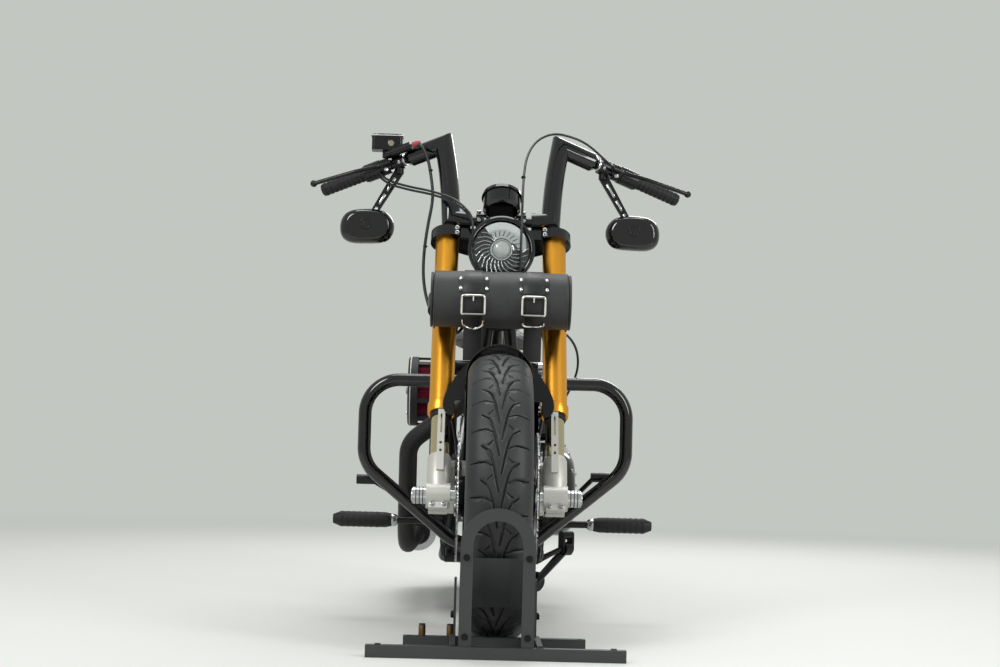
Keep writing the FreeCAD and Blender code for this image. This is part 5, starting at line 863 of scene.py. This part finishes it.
# Half of the wire ring that closes each strap below its buckle, in millimetres: the left one hangs
# flat, the right one hangs open.
left_ring = ((24, 3), (24.5, -4), (20, -9.5), (0, -10.5))
right_ring = ((23.5, 8), (24.2, -2), (19, -15), (0, -22.5))
for reach, name, ring_half in ((0.075, "left", left_ring), (-0.064, "right", right_ring)):
    leathers = [strap_strip("strap", path, width, thickness, reach) for path, width, thickness in (
        (drum_arc(0.0031, -205, 50, 52) + strap_tail, 0.042, 0.003),
        (drum_arc(0.0056, 4, 34, 10), 0.036, 0.0024),
        (drum_arc(0.0022, -49, -11, 12), 0.072, 0.0022),
        (drum_arc(0.0062, -48, -8, 12), 0.047, 0.0032))]
    finish_piece(join_pieces("roll_strap_" + name, leathers), "front_end",
                 strap_leather, smooth=40, replaced=("bag_straps",))

    rivet = turned_piece("rivet", ((0, 4.4), (1.2, 4.2), (2.2, 3), (2.7, 0.8)), 16)
    rivets = placed_copies("rivets", rivet, [on_drum(reach + side * 0.0298, lowered, 0.003)
                                             for side in sides for lowered in (-42, -19)])
    square = bent_wire("buckle_frame", rounded_corners(0.0265, 0.0215, 0.0105), 0.0029, True)
    tongue = bent_wire("buckle_tongue", [(0, 0.0205, 0.0028), (0, 0.0155, 0.003),
                                         (0, 0.0095, 0.0012)], 0.0019)
    square.matrix_world = tongue.matrix_world = on_drum(reach, 12.5, 0.0098)
    points = ([(-x / 1000, y / 1000, 0) for x, y in ring_half]
              + [(x / 1000, y / 1000, 0) for x, y in ring_half[-2::-1]])
    ring = bent_wire("strap_ring", points, 0.0026)
    ring.matrix_world = on_drum(reach, 47, 0.008)
    finish_piece(join_pieces("roll_buckle_" + name, [square, tongue, ring, rivets]), "front_end",
                 nickel, smooth=45, replaced=("bag_buckles",))


# Fasteners: zinc plated or blackened cap screws and hexagon bolts, turned and broached. A screw
# is modelled once and each copy stands on the surface that it clamps.
def hexed(piece, across):
    """Moves the selected ring onto a hexagon of the given width across its flats."""
    mesh = bmesh.from_edit_mesh(piece.data)
    for vert in mesh.verts:
        if vert.select:
            angle = math.atan2(vert.co.y, vert.co.x)
            radius = across / 2 / math.cos((angle % (math.pi / 3)) - math.pi / 6)
            vert.co.x = math.cos(angle) * radius
            vert.co.y = math.sin(angle) * radius
    bmesh.update_edit_mesh(piece.data)


def start_head(name, radius, height):
    """A round screw head with its top face selected."""
    head = start_piece(name, bpy.ops.mesh.primitive_cylinder_add, vertices=24, radius=radius,
                       depth=height)
    pick_top(head)
    return head


def cap_screw(radius, height):
    """Head of a cap screw: rounded rim and a hexagon socket."""
    head = start_head("cap_screw", radius, height)
    bevel(radius * 0.14)
    pick_top(head, 0.99)
    bpy.ops.mesh.inset(thickness=radius * 0.3)
    hexed(head, radius * 1.04)
    bpy.ops.mesh.extrude_region_move(TRANSFORM_OT_translate={"value": (0, 0, -height * 0.6)})
    head.location.z = height * 0.45
    return head


def hexagon_bolt(across, height):
    """Head of a hexagon bolt on its round flange, with chamfered corners."""
    head = start_head("hexagon_bolt", across * 0.62, height * 0.3)
    bpy.ops.mesh.inset(thickness=across * 0.1)
    hexed(head, across)
    bpy.ops.mesh.extrude_region_move(TRANSFORM_OT_translate={"value": (0, 0, height * 0.75)})
    bevel(across * 0.06, 1)
    head.location.z = height * 0.12
    return head


def on_surface(node, start, direction):
    """Place where a line from a point meets a CAD node, standing on its surface."""
    hit, point, normal, face = nodes[node].ray_cast(Vector(start), Vector(direction).normalized())
    if not hit:
        raise ValueError("no surface of " + node + " at " + str(start))
    return aimed(point, normal)


zinc = new_material("zinc_plated_screw", "#BFC0C2", (6, 0.22, 0.34), metallic=1)
black_oxide = new_material("black_oxide_screw", "#1B1C1E", (6, 0.3, 0.42), metallic=0.7)


def fasten(name, body, *sets):
    """Zinc plated fasteners as one piece: each set is a head and the places of its copies."""
    heads = [placed_copies(name, head, places) for head, places in sets]
    finish_piece(join_pieces(name, heads), body, zinc)


fork_ahead = -fork_back
fork_reach = 131


def fork_place(reach, behind, along, direction):
    """Place on the fork from reach, distance behind its middle and along it, in millimetres."""
    return aimed(on_fork([(reach, behind, along)])[0], direction)


# Fork: a lipped rubber wiper closes the mouth of each gold tube, where the stanchion runs in and
# out. Pinch screws close the clamps and the axle feet, and two screws hold each caliper's lugs.
wiper = turned_piece("fork_wiper", ((0, 21.8), (0, 23.8), (1.5, 25), (6, 25.2),
                                    (7, 24.2), (8.5, 24.2), (9.5, 25.3), (11, 25.3)), 48)
wipers = placed_copies("fork_wipers", wiper, [fork_place(side * fork_reach, 0, 200.5, fork_line)
                                              for side in sides])
finish_piece(wipers, "front_end", soft_rubber)

clamp_screws = [fork_place(side * (fork_reach - 24), -33, along, fork_ahead)
                for side in sides for along in (510, 530, 709, 723)]
foot_screws = [fork_place(side * (fork_reach + step), -16, -29, fork_ahead)
               for side in sides for step in (-13, 13)]
fasten("fork_screws", "front_end", (cap_screw(0.0056, 0.0066), clamp_screws),
       (cap_screw(0.005, 0.006), foot_screws))
lug_screws = [fork_place(side * fork_reach, behind, along, (side, 0, 0))
              for side in sides for behind, along in ((96, 68), (110, 90))]
fasten("caliper_screws", "front_end", (cap_screw(0.006, 0.0072), lug_screws))

# Calipers: cast bodies with three round piston caps a side, screwed in, and a banjo on top where
# the hose comes in.
caps = []
for side in sides:
    for turn in (-26, 0, 26):
        place = around("x", 126, 38 + turn * 0.62)
        caps.append(fork_place(side * 65.2, place.y, place.z, (-side, 0, 0)))
cap = turned_piece("piston_cap", ((0, 12.8), (1.6, 12.6), (2.4, 11.2), (1.6, 10), (1.6, 3)))
finish_piece(placed_copies("piston_caps", cap, caps), "front_end", cast_silver)
banjo = turned_piece("banjo", ((-1, 7), (0, 7.8), (7, 7.8), (7.8, 6), (7.8, 5),
                               (12.5, 5), (12.5, 1.2)), 24)
banjos = placed_copies("caliper_banjos", banjo, [on_surface(
    "front_calipers", on_fork([(side * 88, 112, 170)])[0], -fork_line) for side in sides])
finish_piece(banjos, "front_end", zinc)

# Axle: a broached cap closes each spool, and a rubber ring lies in each of its grooves.
grooves = [wire_ring("spool_ring", front_axle + Vector((side * reach, 0, 0)), "x", 0.0182,
                     0.00125, 20) for side in sides for reach in (0.16475, 0.1725, 0.18025)]
finish_piece(join_pieces("spool_rings", grooves), "front_end", soft_rubber, smooth=60)
spool_caps = placed_copies("spool_caps", cap_screw(0.0135, 0.004),
                           [outward(front_axle + Vector((side * 0.1872, 0, 0)), side)
                            for side in sides])
finish_piece(spool_caps, "front_end", turned_steel)


# Brake discs: laser cut stainless steel, drilled in staggered rows through the ring that the pads
# run on. Six screws hold each front disc to the hub.
drill_radius = 0.0031
drill_length = 0.015
hole_rows = (0.1195, 0.129, 0.1385)
holes_per_row = 24


def drilled_disc(name, node, body, axle, middles):
    """A copy of a disc node with rows of holes cut through it, at each disc's middle in X."""
    disc = node_copy(name, node)
    places = []
    for middle in middles:
        for row, radius in enumerate(hole_rows):
            for index in range(holes_per_row):
                turn = 360 * (index + row / len(hole_rows)) / holes_per_row
                offset = around("x", radius, turn) + Vector((middle, 0, 0))
                places.append(outward(axle + offset, 1))
    drill = start_piece("drill", bpy.ops.mesh.primitive_cylinder_add, vertices=10,
                        radius=drill_radius, depth=drill_length)
    holes = placed_copies("holes", drill, places)
    bpy.ops.object.transform_apply()
    cut_away(disc, holes)
    finish_piece(disc, body, disc_steel, smooth=30, replaced=(node,))


drilled_disc("front_discs_drilled", "front_discs", "front_wheel", front_axle, (-0.088, 0.088))
drilled_disc("rear_disc_drilled", "rear_disc", "rear_wheel", rear_axle, (0.0865,))
disc_screws = [outward(front_axle + Vector((side * 0.0902, 0, 0))
                       + around("x", 0.04, 30 + index * 60), side)
               for side in sides for index in range(6)]
fasten("front_disc_screws", "front_wheel", (cap_screw(0.0048, 0.004), disc_screws))


# Headlight: a black bezel with an inner ring holds a clear lens. Behind it a round projector
# stands in a silver ring, below a plated upper reflector, among curved fins.
lamp_low, lamp_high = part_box("headlight_bezel")
lamp_middle = Vector((0, lamp_low.y, (lamp_low.z + lamp_high.z) / 2))
lamp_facing = aimed(lamp_middle, (0, -1, 0))
lamp_mirrored = lamp_facing @ Matrix.Diagonal((-1, 1, 1, 1))
# The projector is drawn opaque and nearly white: painted brightness for the light seen in its lens.
projector_painted_bright = new_material("projector_painted_bright", "#DDDCD4",
                               shades=(30, 1, "#F0EFE6", "#FBFAF4"), roughness=0.1,
                               ior=1.52, coat_weight=1, coat_roughness=0.03)
plated_plastic = new_material("plated_reflector", "#E6E6E4", (12, 0.06, 0.14), metallic=1)

finish_piece(wire_ring("bezel_inner_ring", (0, 0, 0), "z", 0.0722, 0.002), "front_end",
             gloss_black, lamp_facing @ Matrix.Translation((0, 0, -0.0025)))
dome = turned_piece("projector", ((-17, 21.5), (-14.5, 21.3), (-11.8, 19.6), (-9.6, 16.8),
                                  (-7.8, 13), (-6.6, 8.5), (-6.1, 4), (-6, 0.6)), 48)
finish_piece(dome, "front_end", projector_painted_bright, lamp_facing, smooth=60)
collar = turned_piece("projector_collar", ((-19, 26.8), (-15, 26.6), (-13.8, 25),
                                           (-13.8, 22.5), (-16, 21.8)), 48)
finish_piece(collar, "front_end", plated_plastic, lamp_facing, smooth=30)

# The upper reflector is a bowl cut to a sector, pressed thin and plated.
columns = 36
bowl = ((0.0275, -0.0165), (0.034, -0.0192), (0.043, -0.0196), (0.053, -0.0176),
        (0.061, -0.0148), (0.0655, -0.0132))
bowl_lines = [[around("z", radius, 52 + 128 * column / columns) + Vector((0, 0, depth))
               for radius, depth in bowl] for column in range(columns + 1)]
finish_piece(thick_sheet("upper_reflector", bowl_lines, 0.0012), "front_end",
             plated_plastic, lamp_mirrored, smooth=40)

# Swept fins: moulded blades with bright edges curve out from the collar, below and beside it.
fins = []
for index in range(17):
    points = [around("z", 0.0285 + share * 0.0345, 64 - index * 14 - turn)
              + Vector((0, 0, -0.0165 + share * 0.0038))
              for share, turn in ((0, 0), (0.3, 4), (0.6, 11), (1, 24))]
    fins.append(bent_wire("fin", points, 0.0013))
finish_piece(join_pieces("reflector_fins", fins), "front_end", plated_plastic,
             lamp_mirrored, smooth=50)


# Speedometer: a gloss black can with a rolled ring. Its dial is printed and faces the rider.
def block(name, size, edge=None):
    """A box of the given size, in edit mode, with rounded edges where their width is given."""
    piece = start_piece(name, bpy.ops.mesh.primitive_cube_add, size=1)
    bpy.ops.mesh.select_all(action="SELECT")
    bpy.ops.transform.resize(value=size)
    if edge:
        bevel(edge)
    return piece


gauge_facing = aimed(Vector((0, middle_of("speedometer").y - 0.004, 1.03)),
                     fork_line, (0, -1, 0))
dial_face = new_material("printed_dial", "#101114", (5, 0.4, 0.52))
dial_print = new_material("dial_print", "#E6E7E3", (3, 0.45, 0.6))
needle_orange = new_material("needle_paint", "#D8481F", (3, 0.35, 0.5))
finish_piece(wire_ring("gauge_ring", (0, 0, 0.0232), "z", 0.0462, 0.0024), "front_end",
             gloss_black, gauge_facing, smooth=40)
dial = turned_piece("gauge_dial", ((21, 42.5), (24.4, 42.5), (24.7, 41.8), (24.3, 40.8),
                                   (24.3, 0.5)), 64)
finish_piece(dial, "front_end", dial_face, gauge_facing, smooth=30)
dial_start = 225
dial_sweep = 270
marks = []
for index in range(25):
    size = (0.003, 0.0006, 0.0003) if index % 4 else (0.005, 0.001, 0.0003)
    mark = block("dial_mark", size)
    turn = math.radians(dial_start - index * dial_sweep / 24)
    mark.matrix_world = Matrix.Rotation(turn, 4, "Z") @ Matrix.Translation((0.038, 0, 0.0245))
    marks.append(mark)
for index in range(7):
    object_mode()
    bpy.ops.object.select_all(action="DESELECT")
    bpy.ops.object.text_add()
    number = bpy.context.object.data
    number.body = str(index * 20)
    number.size = 0.0078
    number.extrude = 0.0001
    number.align_x = number.align_y = "CENTER"
    bpy.ops.object.convert(target="MESH")
    place = around("z", 0.0292, dial_start - index * dial_sweep / 6) + Vector((0, 0, 0.0244))
    bpy.context.object.matrix_world = Matrix.Translation(place)
    marks.append(bpy.context.object)
finish_piece(join_pieces("gauge_marks", marks), "front_end", dial_print,
             gauge_facing, smooth=20)
hub = turned_piece("gauge_hub", ((24.3, 4.8), (25.6, 4.6), (26.2, 3.8)), 24)
pointer = bent_wire("gauge_pointer", [(0, 0, 0.0252), (-0.0115, -0.0115, 0.0252),
                                      (-0.0235, -0.0235, 0.0252)], 0.0007)
finish_piece(join_pieces("gauge_needle", [hub, pointer]), "front_end",
             needle_orange, gauge_facing, smooth=30)


# Handlebar: fat steel tube, mitred and welded, lacquered gloss black, with thin ends for the
# controls. Cap screws close the riser clamps and a bright band sits beside each control.
bar_top = Vector((0.148, front_axle.y + 0.5, 1.197))
bar_end = Vector((0.455, front_axle.y + 0.612, 1.09))
bar_run = (bar_end - bar_top).normalized()


def on_bar(reach, side=1):
    """Point on the thin bar's middle line and the bar's direction, by its reach."""
    share = (reach / 1000 - bar_top.x) / (bar_end.x - bar_top.x)
    mirror = Vector((side, 1, 1))
    return (bar_top + (bar_end - bar_top) * share) * mirror, bar_run * mirror


riser_screws = []
for side in sides:
    for step in (-9, 9):
        for rise in (0.012, -0.012):
            start = Vector((side * 0.046 + step / 1000, front_axle.y + 0.411, 0.992))
            riser_screws.append(on_surface("bar_risers", start + fork_line * rise
                                           + fork_ahead * 0.09, fork_back))
fasten("riser_screws", "front_end", (cap_screw(0.005, 0.006), riser_screws))

band = turned_piece("bar_band", ((0, 13.1), (0, 15), (1.5, 16.2), (8.5, 16.2), (10, 15),
                                 (10, 13.1)), 40)
finish_piece(placed_copies("bar_bands", band, [aimed(*on_bar(246, side)) for side in (1, -1)]),
             "front_end", turned_steel, smooth=30)

# Bar ends: turned aluminium plugs close the grips.
plug = turned_piece("bar_plug", ((0, 15), (2, 15.8), (5, 15.8), (6.2, 14.6), (5.6, 9.5),
                                 (4.6, 9), (4.6, 2)), 40)
plug_gap = 0.0002
plug_places = []
for side in sides:
    point, direction = on_bar(455, side)
    plug_places.append(aimed(point + direction * plug_gap, direction))
finish_piece(placed_copies("bar_plugs", plug, plug_places), "front_end",
             satin_black, smooth=35)

# Switch housings: three moulded buttons a side stand out of them and face the rider.
button_plastic = new_material("button_plastic", "#2B2C2E", (4, 0.38, 0.5), ior=1.46)
high_facing = Vector((0, 0.86, 0.5))
low_facing = Vector((0, 0.95, -0.3))
buttons = []
for side in sides:
    for reach, out in ((312, high_facing), (326, low_facing), (339, high_facing)):
        button = block("button", (0.0095, 0.0075, 0.007), 0.0014)
        pick_top(button, 0.98)
        bpy.ops.mesh.inset(thickness=0.0012)
        bpy.ops.transform.translate(value=(0, 0, -0.0007))
        button.matrix_world = aimed(on_bar(reach, side)[0] + out * 0.0225, out)
        buttons.append(button)
finish_piece(join_pieces("switch_buttons", buttons), "front_end", button_plastic)

# Lever pivots and perch clamps: each lever turns on a hexagon bolt, and two cap screws close the
# perch round the bar.
lever_reach = 293.8
pivots = []
perch_screws = []
for side, controls in ((-1, "brake_controls"), (1, "clutch_controls")):
    point, direction = on_bar(lever_reach, side)
    pivots.append(on_surface(controls, point + Vector((0, -0.042, -0.05)), (0, 0, 1)))
    for step in (-0.006, 0.006):
        start = point + direction * step + Vector((0, 0.08, 0.012))
        perch_screws.append(on_surface(controls, start, (0, -1, 0)))
fasten("lever_screws", "front_end", (hexagon_bolt(0.01, 0.006), pivots),
       (cap_screw(0.0036, 0.0044), perch_screws))

# Brake reservoir: cast and lacquered, with a round cornered lid, a polished seam under it and a
# round sight glass in a ring.
reservoir_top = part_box("brake_controls")[1].z
lid_middle = Vector((-0.2938, front_axle.y + 0.531, reservoir_top))
lid = block("reservoir_lid", (0.078, 0.044, 0.0036))
pick(lid, "EDGE", lambda edge: abs(edge.verts[0].co.z - edge.verts[1].co.z) > 0.002)
bevel(0.016, 6)
pick_top(lid, 0.99)
bevel(0.0009)
pick_top(lid, 0.99)
bpy.ops.mesh.inset(thickness=0.006)
bpy.ops.transform.translate(value=(0, 0, -0.0008))
finish_piece(lid, "front_end", gloss_black,
             Matrix.Translation(lid_middle + Vector((0, 0, 0.0016))), smooth=30)
seam = bent_wire("reservoir_seam", rounded_corners(0.0402, 0.0232, 0.013), 0.0014, True)
finish_piece(seam, "front_end", turned_steel,
             Matrix.Translation(lid_middle - Vector((0, 0, 0.0012))), smooth=50)
lid_screws = [Matrix.Translation(lid_middle + Vector((x, y, 0.0026)))
              for x in (-0.028, 0.028) for y in (-0.011, 0.011)]
fasten("lid_screws", "front_end", (cap_screw(0.0026, 0.0022), lid_screws))
sight_place = on_surface("brake_controls", lid_middle + Vector((0.01, -0.08, -0.021)),
                         (0, 1, 0))
finish_piece(wire_ring("sight_ring", (0, 0, 0.0004), "z", 0.0088, 0.0014, 20), "front_end",
             gloss_black, sight_place)
fluid_glass = new_material("fluid_sight_glass", "#8A8368", shades=(9, 1, "#7A745C", "#9A9274"),
                           roughness=0.08, ior=1.5, coat_weight=1, coat_roughness=0.03)
sight = turned_piece("sight_glass", ((-0.6, 8), (0.6, 7.8), (1.4, 5), (1.7, 1)))
finish_piece(sight, "front_end", fluid_glass, sight_place, smooth=50)

# Hose end: a red rubber boot covers it where it leaves the brake cylinder. Three rubber ties sit
# on the hose, the throttle cables and the clutch cable.
red_boot = new_material("red_rubber_boot", "#A8454A", (5, 0.45, 0.6), ior=1.46)
hose_start, hose_next = on_bike(master_hose_route)[:2]
boot = turned_piece("hose_boot", ((0, 5.2), (1, 6.8), (5, 7.2), (7, 6.2), (9, 7.2),
                                  (13, 7), (15, 6), (21, 5.2), (23, 4.4)), 28)
hose_run = hose_next - hose_start
finish_piece(boot, "front_end", red_boot, aimed(hose_start + hose_run * 0.1, hose_run),
             smooth=50)
tie = turned_piece("cable_tie", ((0, 4.3), (0, 5.4), (3, 5.4), (3, 4.3)), 20)
tie_places = [aimed((x, front_axle.y + back, height), run) for x, back, height, run in (
    (-0.18, 0.457, 1.125, (0.3, -0.3, -1)), (-0.186, 0.392, 0.925, (-0.05, -0.2, -1)),
    (0.05, 0.29, 1.088, (-0.1, -0.5, -0.8)))]
finish_piece(placed_copies("cable_ties", tie, tie_places), "front_end", soft_rubber)


# Mirrors: forged black arms with a polished bar let into each of their three slots. A ball stud
# under a round boss holds each head, and a cap screw closes the arm's clamp.
mirror_reach = 0.342
inlays = []
bosses = []
clamp_places = []
for side in sides:
    clamp, direction = on_bar(262, side)
    arm_top = clamp - Vector((0, 0, 0.026))
    arm_run = Vector((side * mirror_reach, front_axle.y + 0.52, 0.987)) - arm_top
    for low, high, wide in ((0.13, 0.35, 0.0066), (0.43, 0.59, 0.006), (0.67, 0.77, 0.0054)):
        inlay = block("mirror_inlay", (wide, 0.0094, arm_run.length * (high - low)), 0.0016)
        inlay.matrix_world = aimed(arm_top + arm_run * (low + high) / 2, arm_run, (0, 1, 0))
        inlays.append(inlay)
    shell = middle_of("mirror_shells")
    bosses.append(on_surface("mirror_shells", (side * mirror_reach, shell.y - 0.08,
                                               shell.z + 0.004), (0, 1, 0)))
    clamp_places.append(on_surface("mirror_arms", clamp + Vector((0, -0.06, -0.004)),
                                   (0, 1, 0)))
finish_piece(join_pieces("mirror_inlays", inlays), "front_end", turned_steel,
             smooth=40)
boss = turned_piece("mirror_boss", ((-1, 15), (1.2, 15), (2.4, 14.2), (2.4, 10.5),
                                    (1.4, 10), (1.4, 7), (3, 6.6), (3.4, 5)), 40)
finish_piece(placed_copies("mirror_bosses", boss, bosses), "front_end",
             gloss_black, smooth=35)
fasten("mirror_screws", "front_end", (cap_screw(0.0042, 0.005), clamp_places))


# Wheel chock: welded bar and folded plate. Bolts clamp the hoop, and plain steel sleeves, browned
# by heat, stand on the rear bar for the strap hooks.
browned_steel = new_material("browned_steel", "#6E5238", (5, 0.34, 0.52),
                             (9, 4, "#4E3A2A", "#8A6846"), metallic=0.85)
sleeve = turned_piece("pin_sleeve", ((0, 7.6), (20.5, 7.6), (21.5, 7)), 24)
rear_bar_y = front_axle.y - 0.147
finish_piece(placed_copies("chock_pin_sleeves", sleeve,
                           [Matrix.Translation((x, rear_bar_y, 0.0252)) for x in (-0.155, -0.095)]),
             "front_end", browned_steel, smooth=40)
ahead_of_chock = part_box("wheel_chock")[0].y - 0.2
hoop_bolts = [on_surface("wheel_chock", (side * 0.064, ahead_of_chock, height), (0, 1, 0))
              for side in sides for height in (0.045, 0.205)]
hoop_bolts += [on_surface("wheel_chock", (side * 0.2, rear_bar_y + step, 0.072), (-side, 0, 0))
               for side in sides for step in (-0.018, 0.018)]
finish_piece(placed_copies("chock_bolts", hexagon_bolt(0.011, 0.0062), hoop_bolts), "front_end",
             black_oxide)


# Foot pegs: steel stubs in ribbed rubber sleeves, each on a bright ball joint.
peg_middle = middle_of("footpegs")
rib = turned_piece("peg_rib", ((-4.5, 18.2), (-3.2, 19.6), (3.2, 19.6), (4.5, 18.2)))
ribs = [outward((side * (0.29 + 0.0145 * index), peg_middle.y, peg_middle.z), 1)
        for side in sides for index in range(7)]
finish_piece(placed_copies("peg_ribs", rib, ribs), "chassis", soft_rubber, smooth=35)
joint = turned_piece("peg_joint", ((-15, 7), (-13, 11.2), (-8.5, 14.6), (0, 16),
                                   (8.5, 14.6), (13, 11.2), (15, 7)))
joints = [outward((side * 0.252, peg_middle.y, peg_middle.z), side) for side in sides]
finish_piece(placed_copies("peg_joints", joint, joints), "chassis", turned_steel,
             smooth=60)


# Engine: sand cast aluminium. Cap screws hold the rocker boxes and the cam cover, hexagon bolts
# the primary cover and its lid.
crank = Vector((0, front_axle.y + 0.757, 0.33))
half_vee = math.radians(22.5)
rocker_screws = []
for lean in sides:
    rising = Vector((0, lean * math.sin(half_vee), math.cos(half_vee)))
    lengthways = Vector((0, rising.z, -rising.y))
    for x in (-0.038, 0.038):
        for step in (-0.034, 0.034):
            rocker_screws.append(on_surface("rocker_covers", crank + rising * 0.42
                                            + lengthways * step + Vector((x, 0, 0)), -rising))
fasten("rocker_screws", "chassis", (cap_screw(0.0055, 0.0055), rocker_screws))
to_left = Vector((1, 0, 0))
cam_screws = [on_surface("crankcase", crank - to_left * 0.3
                         + around("x", 0.094, 20 + index * 45), to_left) for index in range(8)]
fasten("cam_cover_screws", "chassis", (cap_screw(0.0048, 0.005), cam_screws))
primary_low, primary_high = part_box("primary_cover")
primary_rear = Vector((0.4, primary_high.y - 0.1385, (primary_low.z + primary_high.z) / 2))
primary_front = Vector((0.4, primary_low.y + 0.121, primary_rear.z - 0.006))
rim_sink = 0.0015
primary_bolts = []
for middle, radius, angles in ((primary_front, 0.105, (100, 145, 190, 235, 270)),
                               (primary_rear, 0.121, (-80, -35, 10, 55, 85))):
    for degrees in angles:
        found = on_surface("primary_cover", middle + around("x", radius, degrees), -to_left)
        primary_bolts.append(outward(found.to_translation() - to_left * rim_sink, 1))
primary_bolts += [on_surface("primary_cover", primary_rear + around("x", 0.043, turn), -to_left)
                  for turn in (90, 162, 234, 306, 378)]
fasten("primary_bolts", "chassis", (hexagon_bolt(0.0085, 0.0052), primary_bolts))


# Air cleaner: an oiled gauze filter folded into deep pleats between a cast cover and its plate.
filter_low, filter_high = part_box("air_filter")
filter_middle = middle_of("air_filter")
pleat_edges = 240
pleat_bottom = 0.93
pleats = start_piece("air_filter_pleats", bpy.ops.mesh.primitive_cylinder_add,
                     vertices=pleat_edges, radius=(filter_high.z - filter_low.z) / 2,
                     depth=filter_high.x - filter_low.x, location=filter_middle,
                     rotation=(0, math.pi / 2, 0))
mesh = bmesh.from_edit_mesh(pleats.data)
for vert in mesh.verts:
    if round(math.atan2(vert.co.y, vert.co.x) / (2 * math.pi / pleat_edges)) % 2:
        vert.co.x *= pleat_bottom
        vert.co.y *= pleat_bottom
bmesh.update_edit_mesh(pleats.data)
finish_piece(pleats, "chassis", filter_gauze, smooth=15, replaced=("air_filter",))
beside_filter = filter_middle - to_left * 0.2
cleaner_bolts = [on_surface("air_cleaner", beside_filter, to_left)]
cleaner_screws = [on_surface("air_cleaner", beside_filter + around("x", 0.058, turn), to_left)
                  for turn in (30, 150, 270)]
fasten("air_cleaner_screws", "chassis", (hexagon_bolt(0.016, 0.007), cleaner_bolts),
       (cap_screw(0.0048, 0.005), cleaner_screws))
rim = wire_ring("air_cleaner_rim", filter_middle - to_left * 0.033, "x", 0.0915, 0.0017, 12)
finish_piece(rim, "chassis", cast_silver, smooth=50)


# Exhaust: bent steel tube under black ceramic. Bright band clamps close the muffler's joints, and
# a rolled ring finishes its outlet.
muffler = Vector((-0.196, front_axle.y, 0.196))
band = turned_piece("muffler_band", ((-7, 46.8), (-7, 48.6), (-6, 49.2), (6, 49.2),
                                     (7, 48.6), (7, 46.8)), 48)
bands = placed_copies("bands", band, [aimed(muffler + Vector((0, back, 0)), (0, 1, 0))
                                      for back in (0.912, 1.3)])
lip = wire_ring("muffler_lip", muffler + Vector((0, 1.528, 0)), "y", 0.03, 0.0018)
finish_piece(join_pieces("muffler_bands", [bands, lip]), "chassis", turned_steel,
             smooth=35)


# Rear axle and trim: flanged nuts close the axle, bolts hold the shock eyes to arm and frame, and
# cap screws the side covers and the regulator.
axle_places = [outward(rear_axle + Vector((side * 0.1702, 0, 0)), side) for side in sides]
shock_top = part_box("shocks")[1].z
shock_bolts = [on_surface("shocks", (side * 0.3, rear_axle.y - back, height), (-side, 0, 0))
               for side in sides for back, height in ((0.096, 0.378), (0.19, shock_top - 0.017))]
fasten("rear_axle_nuts", "chassis", (hexagon_bolt(0.027, 0.011), axle_places),
       (hexagon_bolt(0.014, 0.007), shock_bolts))
cover_screws = [on_surface("side_covers", (side * 0.3, 0.305 + y, 0.53 + z), (-side, 0, 0))
                for side in sides for y, z in ((-0.038, 0.038), (0.038, 0.038), (0, -0.04))]
regulator_screws = [on_surface("regulator", (x, -0.5, z), (0, 1, 0))
                    for x in (-0.052, 0.052) for z in (0.322, 0.398)]
fasten("trim_screws", "chassis", (cap_screw(0.0048, 0.0048), cover_screws),
       (cap_screw(0.004, 0.0045), regulator_screws))


# Tail lamps: red acrylic lenses with moulded rings, pressed into the lamp housings.
red_acrylic = new_material("red_acrylic_lens", "#8E0F14", shades=(12, 1, "#7E0C12", "#A3161C"),
                           roughness=0.08, ior=1.49, coat_weight=0.5, coat_roughness=0.04)
tail_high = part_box("tail_lamps")[1]
lens = turned_piece("tail_lens", ((-1, 21.2), (1, 21.2), (1.6, 19), (1, 18.2), (2.6, 15),
                                  (2.2, 14), (3.6, 10.5), (3.2, 9.6), (4.4, 5), (4.6, 1)), 40)
lens_places = [aimed((side * (tail_high.x - 0.024), tail_high.y, middle_of("tail_lamps").z),
                     (0, 1, 0)) for side in sides]
finish_piece(placed_copies("tail_lenses", lens, lens_places), "chassis", red_acrylic,
             smooth=35)


# Tank cap: a chromed ring under the lacquered cap.
cap_middle = middle_of("tank_cap")
cap_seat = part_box("tank_cap")[1].z - 0.0092
cap_ring = wire_ring("tank_cap_ring", (0, cap_middle.y, cap_seat), "z", 0.0302, 0.0013)
finish_piece(cap_ring, "chassis", chrome, smooth=50)


# Seat: foam on a pressed pan under stitched black leather. The cover is sewn in cross channels,
# with a piped seam round its widest line.
seat = node_copy("seat_cushion", "seat")
shape_by(seat, "DISPLACE", strength=-0.0045, mid_level=0)
puffed(seat, 0.006, 0.0055)
seat_low, seat_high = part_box("seat")
seat_length = seat_high.y - seat_low.y
channels = [seat_low.y + seat_length * share for share in (0.3, 0.41, 0.52, 0.63, 0.74)]
channel_width = 0.005
channel_depth = 0.004
for vert in seat.data.vertices:
    height_share = (vert.co.z - seat_low.z) / (seat_high.z - seat_low.z)
    edge = abs(vert.co.x) / seat_high.x
    if height_share > 0.3:
        depth = sum(math.exp(-((vert.co.y - channel) / channel_width) ** 2)
                    for channel in channels)
        vert.co.z -= channel_depth * depth * max(0, 1 - (edge / 0.8) ** 8)
finish_piece(seat, "chassis", leather, smooth=60, replaced=("seat",))
widest = {}
for vert in seat.data.vertices:
    slice_number = round((vert.co.y - seat_low.y) / seat_length * 22)
    side = 1 if vert.co.x > 0 else -1
    best = widest.get((side, slice_number))
    if best is None or abs(vert.co.x) > abs(best.x):
        widest[(side, slice_number)] = vert.co.copy()
right_side, left_side = ([widest[key] for key in sorted(widest) if key[0] == side]
                         for side in sides)
piping = bent_wire("seat_piping", right_side[1:-1] + left_side[1:-1][::-1], 0.0026, True)
finish_piece(piping, "chassis", leather, smooth=60, replaced=("seat",))

size = {"cad": [list(cad_low), list(cad_high)], "visual": [list(v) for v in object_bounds()]}
